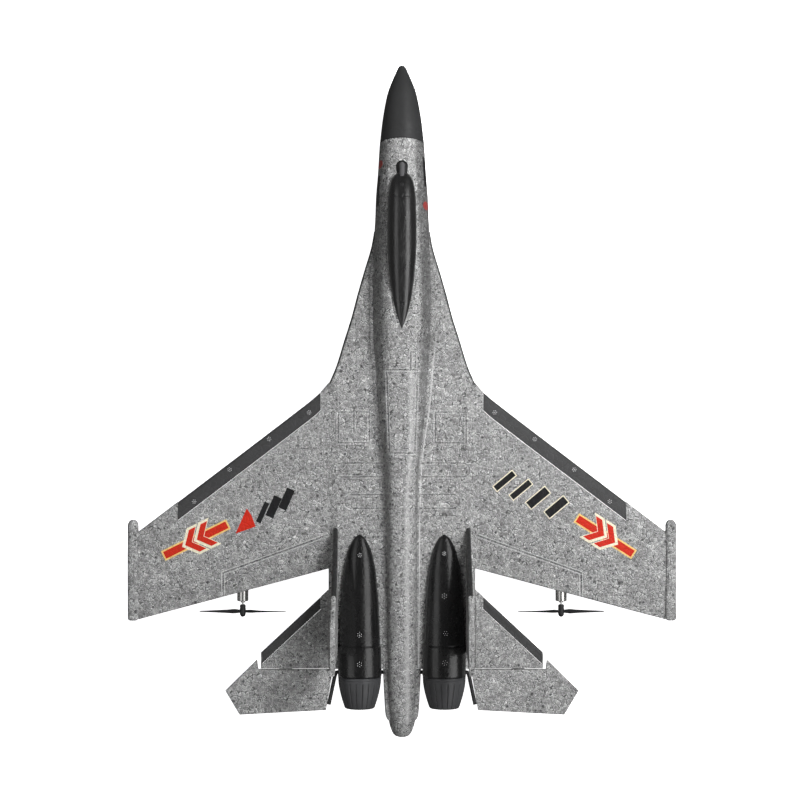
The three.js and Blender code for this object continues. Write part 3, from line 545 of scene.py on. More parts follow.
def metal(name, color, rough, stretch):
    """Drawn or turned steel, with fine lines across its stretch."""
    t = Tree(name)
    lines = t.streaks(stretch, 1.0, 5.0, 0.7)
    c = t.mix(0.35, (*color, 1), t.ramp(lines, (0.3, 0.55), (0.7, 1.0)), "MULTIPLY")
    r = t.patches(400.0, 3.0, 0.55, (0.3, rough - 0.05), (0.7, rough + 0.12))
    return t.done(c, r, 0.95, t.bump(lines, 0.12, 0.00005))


def fibres(name, color):
    """Fine long fibres, as in pultruded carbon."""
    t = Tree(name)
    f = t.streaks((40, 2700, 2700), 1.0, 4.0, 0.6)
    c = t.mix(t.ramp(f, (0.4, 0.0), (0.7, 0.5)), (*color, 1), scaled(color, 3))
    return t.done(c, t.ramp(f, (0.3, 0.25), (0.7, 0.5)), 0.0, t.bump(f, 0.3, 0.00008))


def board(name):
    """Green lacquered circuit board with paler tracks and tinned pads."""
    t = Tree(name)
    cells = t.voronoi(420.0, "DISTANCE_TO_EDGE", None, 0.15)["Distance"]
    track = t.ramp(cells, (0.06, 1.0), (0.1, 0.0), mode="CONSTANT")
    pad = t.ramp(t.voronoi(700.0, "F1", None, 0.3)["Distance"], (0.14, 1.0), (0.18, 0.0))
    c = t.mix(t.math("MULTIPLY", track, 0.6), (0.01, 0.12, 0.045, 1), (0.03, 0.3, 0.1, 1))
    c = t.mix(t.math("MULTIPLY", pad, 0.8), c, (0.6, 0.58, 0.5, 1))
    return t.done(c, 0.32, 0.0, t.bump(track, 0.4, 0.0001), Coat_Weight=0.4)


def shrink_wrap(name):
    """Blue heat-shrunk film with soft wrinkles."""
    t = Tree(name)
    w = t.streaks((1, 0.25, 1), 320.0, 4.0, 0.6)
    c = t.mix(t.ramp(w, (0.35, 0.0), (0.7, 0.5)), (0.018, 0.09, 0.42, 1), (0.05, 0.2, 0.65, 1))
    return t.done(c, t.ramp(w, (0.3, 0.12), (0.7, 0.3)), 0.0, t.bump(w, 0.45, 0.0004), Coat_Weight=0.5)


def ink(name, color):
    """Thin printed film: the beads under it still show through faintly."""
    t = Tree(name)
    edge = t.beads(330.0, 260.0)[0]
    rim = t.ramp(edge, (0.0, 0.82), (0.08, 1.12), (0.3, 1.0))
    worn = t.patches(700.0, 5.0, 0.7, (0.3, 0.86), (0.6, 1.03))
    b = t.bump(t.ramp(edge, (0.0, 0.0), (0.15, 0.8), (0.4, 1.0), mode="EASE"), 0.3, 0.0004)
    return t.done(t.times(t.times(rim, worn), (*color, 1)), 0.35, 0.0, b)


FOAM = foam("foam_grey", 0.29)
STRIP = painted_foam("foam_strip_black", 0.043, 0.5, 0.9)
GLOSS = painted_foam("cover_gloss_black", 0.006, 0.26, 0.5, 0.2, coat=0.35)
GLAZING = painted_foam("canopy_gloss_smoke", 0.006, 0.33, 0.85, 0.25, 0.85, 0.8, 0.22)
FIN_STRIP = painted_foam("fin_strip_black", 0.02, 0.3, 1.3, 0.4, 0.5, 0.6, 0.2)
NOSE_MAT = plastic("nose_satin", (0.03, 0.0305, 0.031), 0.5, 900.0, 0.25)
NOZZLE_MAT = plastic("nozzle_matt", (0.056, 0.057, 0.06), 0.46, 700.0, 0.5, groove_shade=0.5)
BLACK = plastic("moulded_black", (0.016, 0.016, 0.017), 0.36, 1500.0, 0.3)
CAN = metal("motor_steel", (0.78, 0.77, 0.75), 0.2, (30, 3000, 30))
STEEL = metal("wire_steel", (0.62, 0.62, 0.63), 0.28, (3000, 30, 3000))
CARBON = fibres("carbon_rod", (0.02, 0.02, 0.022))
WRAP = shrink_wrap("battery_wrap")
WHITE = plastic("moulded_white", (0.78, 0.77, 0.73), 0.42, 1200.0, 0.25)
BOARD = board("circuit_board")
FILM = plastic("hinge_film", (0.42, 0.43, 0.44), 0.3, 500.0, 0.3)
RIM = plastic("sensor_rim_black", (0.006, 0.006, 0.0065), 0.55, 1500.0, 0.3)
LENS = plastic("sensor_grey", (0.09, 0.09, 0.094), 0.22, 900.0, 0.15)
# white pips: painted glints standing in for the highlights on raised vent pips of the black surfaces
PIP_GLINT = plastic("vent_pip", (0.66, 0.66, 0.67), 0.35, 2000.0, 0.2)
PIP_DARK = plastic("vent_pip_dark", (0.05, 0.05, 0.052), 0.35, 2000.0, 0.2)
PIP_FOAM = foam("vent_pip_foam", 0.24, 600.0)
RED_INK = ink("ink_red", (0.6, 0.02, 0.006))
FADED_INK = ink("ink_red_faded", (0.34, 0.05, 0.045))
GOLD_INK = ink("ink_yellow", (0.86, 0.6, 0.2))
CREAM_INK = ink("ink_cream", (0.85, 0.8, 0.62))
BLACK_INK = ink("ink_black", (0.008, 0.008, 0.009))
LEAD_RED = plastic("lead_red", (0.42, 0.015, 0.01), 0.35, 900.0, 0.2)
LEAD_BLUE = plastic("lead_blue", (0.01, 0.03, 0.32), 0.35, 900.0, 0.2)

# ---------------------------------------------------------------- body sections
BODY = table([
    [50, 13.8, 13.8, 13.4, -15.6],
    [68, 14.9, 14.9, 15.4, -16.2],
    [83, 16.1, 16.1, 17, -16.8],
    [98, 16.7, 16.5, 18.2, -17.4],
    [110, 17.6, 16.4, 18.6, -17.8],
    [141, 19.9, 16.2, 17.6, -18],
    [167, 19.9, 15.2, 16.6, -18],
    [188, 18.3, 14.4, 15.4, -17.4],
    [214, 16, 14.2, 14.2, -16.6],
    [247, 11.5, 14, 13.4, -15.4],
    [288, 10.1, 13.6, 12.2, -13],
    [375, 9.4, 10.4, 9.6, -9.6],
    [395, 8.2, 9, 8.4, -8.6],
    [410, 6.6, 8, 7, -7.4],
])
LEAN = table([[50, 0, 2.1], [98, 0.12, 2.5], [141, 0.42, 4], [188, 0.4, 4], [230, 0.2, 3.6],
              [300, 0.1, 3], [410, 0, 2.2]])
SHEAR = 0.19


def tilt(points):
    """The joint behind the nose leans forward at the top."""
    p = np.array(points, float)
    fade = smooth(20, 48, p[..., 1]) * (1 - smooth(52, 84, p[..., 1]))
    p[..., 1] -= SHEAR * p[..., 2] * fade
    return p


def even(points, count):
    """The same open line with count evenly spaced points."""
    p = np.asarray(points)
    t = np.r_[0, np.cumsum(np.linalg.norm(np.diff(p, axis=0), axis=1))]
    u = np.linspace(0, t[-1], count)
    return np.stack([np.interp(u, t, p[:, k]) for k in range(p.shape[1])], -1)


def half_section(s, lower, shrink, count, start=0.0):
    """The body's upper or lower outline at s, cut off at the height start."""
    n = 2 / float(LEAN(s, 1))
    a = np.linspace(0, math.pi, 500)
    rise = spow(np.sin(a), n)
    rise[-1] = 0
    if lower:
        x = BODY(s, 1) * spow(np.cos(a), n)
        h = BODY(s, 3) * rise
    else:
        x = BODY(s, 0) * (1 - LEAN(s, 0) * rise) * spow(np.cos(a), n)
        h = BODY(s, 2) * rise
    line = np.stack([x * shrink, h * shrink], -1)
    keep = (h * shrink <= start) if lower else (h * shrink >= start)
    line = even(line[keep], count)
    return ring(line[:, 0], s, line[:, 1])


SPINE_LINES = [
    [(9.6, 190), (7.8, 241)],
    [(-9.6, 190), (-7.8, 241)],
    [(-9.6, 190), (9.6, 190)],
    [(-7.8, 241), (7.8, 241)],
    [(5.2, 179), (8.2, 179), (8.2, 188)],
    [(5.2, 179), (5.2, 190)],
]
SPINE_MARKS = (179, 188, 190, 241)
CANOPY = table([
    [68.5, 3, 16.4],
    [72.5, 6.3, 18.8],
    [80.6, 8.1, 22.2],
    [92, 8.8, 25],
    [106, 9, 26],
    [120, 8.7, 25.2],
    [136, 7.4, 22.6],
    [152, 5, 19],
    [164.5, 1.4, 16.9],
])


def body_rings(lower, step, base):
    """The body above or below the plate, with the values of the painted shade and highlight along its lines and
    crest, and of the painted shade on its flanks.
    """
    s0 = NOSE_JOINT + 0.1
    rows = []
    for s in around(() if lower else SPINE_MARKS, s0, STINGER_END, step):
        start = base if s > DECK_FRONT else (-0.1 if lower else 0.1)
        rows.append(half_section(s, lower, 1.0, 90 if lower else 170, start))
    r = np.array(rows)
    line = np.zeros(r.shape[:2])
    # painted shade on the flanks, darker than the crest, most of all forward and weaker on the left towards the
    # tail
    across = np.abs(r[..., 0]) / BODY(r[..., 1], 0)
    crest = 0.52 + 0.16 * smooth(190, 245, r[..., 1]) + 0.1 * smooth(250, 300, r[..., 1])
    depth = 0.66 - 0.3 * smooth(150, 215, r[..., 1]) - 0.12 * smooth(290, 330, r[..., 1])
    depth = depth * np.where(r[..., 0] < 0, 0.6 - 0.5 * smooth(165, 200, r[..., 1]), 1.0)
    shade = depth * smooth(crest, crest + 0.16, across)
    if not lower:
        x, s = r[..., 0], r[..., 1]
        top = smooth(0.55, 0.8, r[..., 2] / BODY(s, 2))
        line = 0.62 * top * groove(x, s, SPINE_LINES, 1.0)
        r[..., 2] -= 0.5 * line
        # a painted highlight along the crest, a little to the right of the middle
        ridge = 5.6 - 2.4 * smooth(235, 270, s)
        crest_highlight = bell(x - ridge, 2.1) * smooth(166, 186, s) * top
        line = np.where(np.abs(line) < 0.1, line - 0.32 * crest_highlight, line)
        # moat round the canopy
        moat = bell(np.abs(x) - CANOPY(s, 0) - 0.5, 0.55) * (s > 69) * (s < 164)
        r[..., 2] -= 0.55 * moat * top
    # rounded shoulder at the nose joint
    r[..., 0] *= 1 - 0.022 * np.exp(-(r[..., 1] - s0) / 0.5)
    return tilt(r), line.ravel(), shade.ravel()


TAIL_END = table([
    [406, 1], [409, 0.965], [412, 0.86], [414.5, 0.72], [416.1, 0.56], [416.8, 0.4], [417, 0.12],
])


def tail_tip():
    rows = []
    for s in np.r_[np.arange(406, 414, 0.6), np.linspace(414, 416, 8), 416.3, 416.5, 416.7, 416.85, 416.95,
                   LENGTH]:
        k = float(TAIL_END(s))
        up = half_section(s, False, k, 60)
        low = half_section(s, True, k, 60)[::-1]
        rows.append(np.concatenate([up, low]))
    return np.array(rows)


upper_rings, upper_shade_and_highlight, upper_shade = body_rings(False, 0.7, 2.6)
tip_rings = tail_tip()
tip_blank = np.zeros(tip_rings.shape[0] * tip_rings.shape[1])
lofts("fuselage_upper_foam", [upper_rings, tip_rings], "airframe", FOAM, ["fuselage_upper"],
      line=np.r_[upper_shade_and_highlight, tip_blank], shade=np.r_[upper_shade, tip_blank])

lower_rings = body_rings(True, 1.3, -2.9)[0]
lower = lofts("fuselage_lower_foam", [lower_rings], "airframe", FOAM, ["fuselage_lower"])
BELOW = -30
HATCH_SEAT = (-12.5, 12.5, 113.0, 173.0, BELOW, -13.2)
HATCH = (-12.2, 12.2, 113.3, 172.7, BELOW, -13.5)
BATTERY_BAY = (-10.9, 10.9, 116, 170, -20, -4.3)
SERVO_BAY = (-9, 4, 176.5, 199, -14.2, -4.0)
HORN_BAY = (-1.2, 3.8, 370.4, 383.6, -8.8, 0)
SWITCH_BAY = (-3.8, 3.8, 205.7, 216.3, -22, -11.4)
ROD_H = -6
ROD_TUNNEL = ((0, 198, ROD_H), (0, 372, ROD_H), 1.5, 20)
FINGER_NOTCH = ((-3, 173.3, -18.6), (3, 173.3, -18.6), 2.4)
cut(lower, [box_cutter(*bay) for bay in (HATCH_SEAT, BATTERY_BAY, SERVO_BAY, HORN_BAY, SWITCH_BAY)]
    + [rod_cutter(*ROD_TUNNEL)])

hatch_rows = np.array([half_section(s, True, 1.0, 110, -1.0) for s in np.arange(110, 176.1, 0.8)])
hx, hs = hatch_rows[..., 0], hatch_rows[..., 1]
HATCH_LINES = [[(-8.5, 118), (8.5, 118), (8.5, 166), (-8.5, 166), (-8.5, 118)],
               [(-4, 150), (4, 150)], [(-4, 153), (4, 153)], [(-4, 156), (4, 156)]]
hatch_rows[..., 2] += groove(hx, hs, HATCH_LINES, 0.5, 0.6) * smooth(-12, -15, hatch_rows[..., 2])
hatch = lofts("battery_hatch_foam", [hatch_rows], "battery_hatch", FOAM, ["battery_hatch"])
cut(hatch, [box_cutter(*HATCH)], keep=True)
cut(hatch, [rod_cutter(*FINGER_NOTCH)])

# ---------------------------------------------------------------- nose
NOSE = table([[0, 0.9], [1.2, 2.2], [5, 4], [8.7, 5.6], [16, 8.4], [23.6, 10.2], [35, 12.1], [50, 13.8]])


def nose_rings():
    rows = []
    a = angles(120)
    end = NOSE_JOINT - 0.25
    tip_end, tip_r = 1.2, 2.2
    marks = np.r_[tip_end * eased(10), np.linspace(1.6, end - 0.4, 110), end - 0.25, end - 0.1, end]
    for s in marks:
        w = float(NOSE(s))
        if s < tip_end:
            w = tip_r * dome(1 - s / tip_end, 0.003)
        if s > end - 0.35:
            w -= 0.35 * ((s - end + 0.35) / 0.35) ** 2
        t = s / NOSE_JOINT
        mid = -6 + 5 * math.sin(t * math.pi / 2)
        # a fine turned line near the joint
        w -= 0.1 * bell(s - 44.0, 0.4)
        rows.append(ring(w * np.cos(a), s, mid + w * (1 + 0.05 * t) * np.sin(a)))
    return tilt(np.array(rows))


lofts("nose_cone_satin", [nose_rings()], "airframe", NOSE_MAT, ["nose_cone"])

# ---------------------------------------------------------------- canopy and fairing
CANOPY_SUNK = 3.0
CANOPY_SQUARE = 0.82


def canopy_rings():
    rows = []
    ends = np.sin(np.linspace(0, math.pi / 2, 8))
    marks = np.r_[68.3 + 1.2 * eased(7), np.linspace(70, 162.5, 120), 164.8 - 2.2 * (1 - ends[1:])]
    for s in marks:
        w = float(CANOPY(s, 0))
        crown = float(CANOPY(s, 1))
        low = float(BODY(s, 2)) - CANOPY_SUNK
        k = dome((70.2 - s) / 1.95, 0.01)
        crown = low + (crown - low) * (0.6 + 0.4 * k)
        w *= k * dome((s - 160) / 4.9, 0.01)
        a = np.linspace(0, math.pi, 90)
        x = w * spow(np.cos(a), CANOPY_SQUARE)
        h = low + (crown - low) * np.abs(np.sin(a)) ** CANOPY_SQUARE
        line = even(np.stack([x, h], -1), 72)
        h = line[:, 1]
        # moulded frame lines across the glazing
        for mark, deep in ((84.0, 0.22), (141.0, 0.16)):
            h = h - deep * bell(s - mark, 0.55)
        rows.append(ring(line[:, 0], s, h))
    return np.array(rows)


lofts("canopy_gloss", [canopy_rings()], "airframe", GLAZING, ["canopy"])


def capsule(s0, s1, r, low, tall, flat):
    """A low dome on a stadium-shaped foot between s0 and s1."""
    b = angles(40)
    mid = np.where(np.sin(b) > 0, s1 - r, s0 + r)
    rows = []
    for a in np.linspace(0, math.pi / 2, 14):
        q = r * math.cos(a) ** flat
        h = low + tall * math.sin(a) ** flat
        rows.append(np.stack([q * np.cos(b), mid + q * np.sin(b), np.full(40, h)], -1))
    return np.array(rows)


for part, shape, material in (("rim", (61.3, 72.5, 3.9, 13.6, 2.5, 0.7), RIM),
                              ("dome", (62.7, 73.6, 1.9, 15.2, 3.2, 0.8), LENS)):
    lofts(f"sensor_fairing_{part}", [capsule(*shape)], "airframe", material, ["sensor_fairing"])

# ---------------------------------------------------------------- wing and centre plate surfaces
WING_LE = table([[45.5, 197.5], [49.3, 202], [58, 209.6], [150.7, 280.2], [163.2, 289.6]])


def wing_rear(x):
    return 312.9 + (np.asarray(x, float) - ROOT_X) * 0.268


def wing_top(x, s):
    x = np.maximum(x, ROOT_X)
    le, te = WING_LE(x), wing_rear(x)
    t = np.clip((s - le) / (te - le), 0, 1)
    crown = 2.5 - 0.7 * (x - ROOT_X) / 118
    arch = np.abs(np.sin(math.pi * t**0.62)) ** 0.85
    return WING_BOTTOM + 1.5 + (crown - WING_BOTTOM - 1.5) * arch


WING_LINES = [[(46.2, 292.2), (111, 315.6), (111, 330.2)]]


def wing_skin(x, s):
    return wing_top(x, s) - groove(x, s, WING_LINES)


def slot_line(x0, x1, s0, s1):
    """A panel slot with a rounded outer end, open towards the spine."""
    r = (s1 - s0) / 2
    sign = 1 if x1 > x0 else -1
    end = [(x1 - sign * r + sign * r * math.sin(a), s0 + r - r * math.cos(a))
           for a in np.linspace(0, math.pi, 9)]
    return [(x0, s0)] + end + [(x0, s1)]


DECK_LINES = []
for side in (1, -1):
    DECK_LINES.append([(side * 20.5, 216), (side * 39.5, 216), (side * 39.5, 235), (side * 20.5, 235),
                       (side * 20.5, 216)])
    DECK_LINES.append(slot_line(side * 12, side * 41.7, 247.5, 256))
    DECK_LINES.append(slot_line(side * 11, side * 35.5, 267, 275.5))
DECK_LINES.append([(-30, 216), (-30, 228)])
DECK_X_MARKS = (-41.7, -40.6, -39.5, -38.3, -35.5, -34.2, -30, -20.5,
                20.5, 34.2, 35.5, 38.3, 39.5, 40.6, 41.7)
DECK_S_MARKS = (216, 235, 247.5, 256, 267, 275.5)

DECK_EDGE = table([
    [104, 17.3], [113, 18.9], [120, 20.8], [128, 23.3], [143, 27.6], [157, 31.3], [172, 36], [187, 40.6],
    [195, 43.9], [198.5, 45.5],
])
STINGER = table([[374.6, 11.8], [392, 11.0], [403, 10.2], [405.5, 9.4], [407, 8.0], [408, 5.5]])


LEAD_GROOVE = -0.8


def lead_x(s):
    """Where the groove for the motor lead runs."""
    return 8 + (s - 179.6) * 91.6 / 127.8


def deck_top(x, s):
    ax = np.abs(x)
    zone = smooth(193, 204, s) * (1 - smooth(296, 308, s))
    fall = smooth(39.5, 45.4, ax) * zone
    top = DECK_HALF * (1 - fall) + wing_top(np.maximum(ax, ROOT_X), s) * fall
    # the leading edge extensions slope gently to their edges
    edge = np.where(s < 198.5, DECK_EDGE(s), ROOT_X)
    slope = smooth(16, 0, edge - ax) * (1 - smooth(185, 200, s)) * 0.9
    # soft fillet up to the spine
    base = BODY(s, 0)
    fillet = 1.5 * np.exp(-np.maximum(0, ax - base + 0.3) / 1.1) * smooth(104, 112, s)
    return top - slope + fillet - groove(x, s, DECK_LINES)


def deck_rings():
    rows = []
    columns = around(DECK_X_MARKS, -42.5, 42.5, 0.6) / 42.5
    for s in around(DECK_S_MARKS, DECK_FRONT, DECK_REAR, 0.75):
        free = s < 197.5 or s > 313.2
        w = float(DECK_EDGE(s)) if s < 198.5 else ROOT_X
        r = 2.2 if s < 197.5 else (1.5 if free else 0.02)
        core = columns * (w - 3)
        side = w - 3 + 3 * np.sin(np.linspace(0, math.pi / 2, 11))[1:]
        x = np.r_[-side[::-1], core, side]
        d = w - np.abs(x)
        f = dome(1 - d / r) if free else np.ones_like(d)
        top = deck_top(x, s)
        bottom = np.full_like(x, -DECK_HALF) + 0.5 * smooth(16, 0, d) * (s < 197.5)
        if not free:
            fall = smooth(41, 45.4, np.abs(x)) * float(smooth(193, 204, s))
            bottom = bottom * (1 - fall) + WING_BOTTOM * fall
        mid = (top + bottom) / 2
        # the underside, with the groove for the motor lead
        xb = x[::-4]
        lead = np.abs(np.abs(xb) - lead_x(s)) < 1.9
        low = (mid + (bottom - mid) * f)[::-4]
        low = np.where(lead & (s > 182) & (s < 232), LEAD_GROOVE, low)
        rows.append(np.concatenate([ring(x, s, mid + (top - mid) * f), ring(xb, s, low)]))
    return np.array(rows)


plate = deck_rings()
plate_shade_and_highlight = 0.5 * groove_painted_light(plate, DECK_LINES, 0)
edge_off = DECK_EDGE(plate[..., 1]) - np.abs(plate[..., 0])
# painted shade along the rounded edges of the leading edge extensions
edge_painted_shade = 1.2 * smooth(1.7, 0.6, edge_off) * (plate[..., 1] < 197.5)
plate_shade_and_highlight = np.where(edge_painted_shade > 0, np.maximum(plate_shade_and_highlight, edge_painted_shade), plate_shade_and_highlight)
# a painted highlight in the crease where the plate meets the foot of the spine, plainest on the right
foot = np.abs(plate[..., 0]) - BODY(plate[..., 1], 0) - 0.9
foot_highlight = bell(foot, 0.34) * smooth(165, 185, plate[..., 1]) * (plate[..., 2] > 0)
foot_highlight = foot_highlight * np.where(plate[..., 0] > 0, 0.62, 0.24)
plate_shade_and_highlight = np.where(np.abs(plate_shade_and_highlight) < 0.1, -foot_highlight, plate_shade_and_highlight)
# painted shade beside the foot of the spine, fading aft, and along the extensions' rounded edges
root_off = np.maximum(0, np.abs(plate[..., 0]) - BODY(plate[..., 1], 0))
plate_shade = 0.34 * np.exp(-root_off / 3.5) * (1 - smooth(150, 200, plate[..., 1])) * (plate[..., 2] > 0)
plate_shade = np.maximum(plate_shade, 0.95 * smooth(1.6, 0.7, edge_off) * (plate[..., 1] < 199))
centre_plate = lofts("centre_plate_foam", [plate], "airframe", FOAM, ["centre_deck"],
                     line=plate_shade_and_highlight, shade=plate_shade)
PLATE_HORN_SLOT = (-0.2, 3.5, 370.6, 376, -5, 2.55)
STINGER_HORN_SLOT = (0.3, 3.1, 372.4, 381.6, -5, 2.5)
HINGE_BORE = ((-20, HINGE_S, 0), (20, HINGE_S, 0), 1.7)
cut(centre_plate, [box_cutter(*PLATE_HORN_SLOT)])


def stinger_rings():
    rows = []
    a = angles(72)
    for s in np.r_[DECK_REAR - 6, np.linspace(DECK_REAR, 403, 46), np.linspace(403.4, 407.4, 14),
                   407.7, 407.9, STINGER_END]:
        w = float(STINGER(max(s, DECK_REAR)))
        half = (DECK_HALF - 0.25) * dome((s - 405.8) / 2.22, 0.03)
        rows.append(ring(w * spow(np.cos(a), 0.25), s, half * spow(np.sin(a), 0.45)))
    return np.array(rows)


stinger = lofts("stinger_plate_foam", [stinger_rings()], "airframe", FOAM, ["centre_deck"])
cut(stinger, [rod_cutter(*HINGE_BORE), box_cutter(*STINGER_HORN_SLOT)])


def slab(xs, front, rear, top, bottom, nose_r, tail_r, n_top, n_low=44):
    """Rings along x of a thin wing-like solid between its front and rear lines."""
    rows = []
    for x in xs:
        a, b = float(front(x)), float(rear(x))
        c = max(b - a, 0.02)
        edge = eased(8)
        if c > nose_r + tail_r + 1:
            d = np.r_[edge * nose_r, np.linspace(nose_r, c - tail_r, n_top - 16), c - (edge * tail_r)[::-1]]
        else:
            d = np.linspace(0, c, n_top)
        f = dome(1 - d / max(min(nose_r, c / 2), 1e-3))
        g = dome(1 - (c - d) / max(min(tail_r, c / 2), 1e-3))
        s = a + d
        t, l = top(x, s), bottom(x, s)
        mid = (t + l) / 2
        k = f * g
        up = np.stack([np.full_like(s, x), s, mid + (t - mid) * k], -1)
        take = np.unique(np.r_[np.arange(0, 8), np.linspace(8, len(d) - 9, n_low - 16).astype(int),
                               np.arange(len(d) - 8, len(d))])[::-1]
        down = np.stack([np.full(len(take), x), s[take], (mid + (l - mid) * k)[take]], -1)
        rows.append(np.concatenate([up, down]))
    return np.array(rows)


STRIP_X = (50.3, 139.0)
STRIP_WIDE = 11.6


def wing_low(x, s):
    flat = np.full_like(s, WING_BOTTOM)
    lead = np.abs(x - lead_x(s)) < 1.35
    return np.where(lead & (s < 307.4), LEAD_GROOVE, flat)


xs_root = np.r_[np.arange(ROOT_X, STRIP_X[0], 0.6), STRIP_X[0]]
xs_mid = around((111,), *STRIP_X, 0.6)
xs_tip = np.r_[np.arange(STRIP_X[1], 163.4, 0.9), 163.4]


def wing_rings():
    cut_front = lambda x: WING_LE(x) + STRIP_WIDE + 0.25
    parts = ((xs_root, WING_LE, 2.2), (xs_mid, cut_front, 0.3), (xs_tip, WING_LE, 2.2))
    return np.concatenate([slab(xs, front, wing_rear, wing_skin, wing_low, nose_r, 0.7, 210)
                           for xs, front, nose_r in parts])


def strip_rings():
    xs = np.r_[STRIP_X[0] + 0.2, np.arange(STRIP_X[0] + 0.6, STRIP_X[1] - 0.5, 0.9), STRIP_X[1] - 0.2]
    top = lambda x, s: wing_top(x, s) + 0.02
    return slab(xs, lambda x: WING_LE(x) + 0.35, lambda x: WING_LE(x) + STRIP_WIDE, top, wing_low, 2.2,
                0.35, 44, 30)


wing, wing_strip = wing_rings(), strip_rings()
for side, name in SIDES:
    lofts(f"wing_foam_{name}", [sided(wing, side)], "airframe", FOAM, [f"wing_{name}"],
          line=groove_painted_light(wing, WING_LINES, -0.5))
    lofts(f"wing_strip_{name}", [sided(wing_strip, side)], "airframe", STRIP, [f"wing_edge_strip_{name}"])


# ---------------------------------------------------------------- tail
def stab_front(x):
    return 325.9 + (np.asarray(x, float) - 45.8) * 0.929


STAB_X = (45.6, 87.4)
STAB_REAR = 374.7
STAB_HALF = 2.1
STAB_LINES = [[(52, 366), (84, 366)]]
TAIL_STRIP = (50.2, 86.8)
TAIL_STRIP_WIDE = 8.0


def stab_low(x, s):
    return np.full_like(s, -STAB_HALF)


def stab_rings():
    top = lambda x, s: np.full_like(s, STAB_HALF) - groove(np.full_like(s, x), s, STAB_LINES, 0.25)
    cut_front = lambda x: stab_front(x) + TAIL_STRIP_WIDE
    parts = ((np.linspace(STAB_X[0], TAIL_STRIP[0], 8), stab_front, 1.8),
             (np.linspace(*TAIL_STRIP, 50), cut_front, 0.3),
             (np.linspace(TAIL_STRIP[1], STAB_X[1], 4), stab_front, 1.8))
    return np.concatenate([slab(xs, front, lambda x: STAB_REAR, top, stab_low, nose_r, 0.5, 90, 36)
                           for xs, front, nose_r in parts])


def tail_strip_rings():
    xs = np.linspace(TAIL_STRIP[0] + 0.2, TAIL_STRIP[1] - 0.2, 44)
    return slab(xs, lambda x: stab_front(x) + 0.2, lambda x: stab_front(x) + TAIL_STRIP_WIDE - 0.25,
                lambda x, s: np.full_like(s, STAB_HALF), stab_low, 1.8, 0.35, 40, 28)


def elevator_rings():
    """A long flap behind the stabiliser, and a tip that reaches forward past its end."""
    tip_x = 89.8

    def inner_front(x):
        return 375.0 if x < tip_x else 369.0

    def rear(x):
        if x < 47.1:
            return 376.0 + (x - 42.9) * 24.5 / 4.2
        if x < 100.7:
            return 400.5 + (x - 47.1) * 2.9 / 53.6
        return 403.4 - (x - 100.7) * 15.0 / 8.9

    def half(s):
        return np.where(s < HINGE_S, 1.6 + 0.4 * np.clip((s - 366) / 11, 0, 1), 2 - 1.1 * (s - HINGE_S) / 28)

    parts = ((np.r_[np.linspace(42.9, 47.1, 8), np.linspace(47.9, tip_x, 56)], inner_front, 2.0),
             (np.linspace(tip_x, 109.5, 30), lambda x: 369.0 + (x - tip_x) * 0.98, 1.5))
    top = lambda x, s: half(s)
    low = lambda x, s: -half(s)
    return np.concatenate([slab(xs, front, rear, top, low, nose_r, 0.7, 80, 34) for xs, front, nose_r in parts])


def joiner_rings():
    path = [(-45.3, 397, 0), (-42.6, 384, 0), (-41.4, 378.6, 0), (-40.6, 377.2, 0), (-39.5, HINGE_S, 0)]
    line = path + [(k, HINGE_S, 0) for k in range(-36, 37, 6)] + [(-x, s, h) for x, s, h in path[::-1]]
    return tube_rings(spline(line, 150), 1.2, 20)


FILM_X = (68.0, 76.0)


def film_rings():
    """A thin strip across the hinge, thinnest where it bends."""
    x0, x1 = FILM_X
    rows = []
    for s in np.linspace(370, 384, 30):
        t = 0.15 if abs(s - HINGE_S) > 1.2 else 0.09
        rows.append([(x0, s, -t), (x0 + 1, s, -t), (x1 - 1, s, -t), (x1, s, -t), (x1, s, t), (x0, s, t)])
    return np.array(rows)


for side, name in SIDES:
    for part, rings, body, material, node, slot in (
            ("stabiliser_foam", stab_rings(), "airframe", FOAM, "stabiliser", "foam_grey"),
            ("tail_strip", tail_strip_rings(), "airframe", STRIP, "tail_edge_strip", "foam_dark"),
            ("elevator_foam", elevator_rings(), "elevator", FOAM, "elevator", "foam_grey"),
            ("hinge_film_bend", film_rings(), None, FILM, "hinge_film", "clear_film")):
        flap = lofts(f"{part}_{name}", [sided(rings, side)], body, material, [f"{node}_{name}"])
    mid = Vector(world([side * sum(FILM_X) / 2, HINGE_S, 0]).tolist())
    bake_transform(flap)

lofts("elevator_joiner_rod", [joiner_rings()], "elevator", BLACK, ["elevator_joiner"])


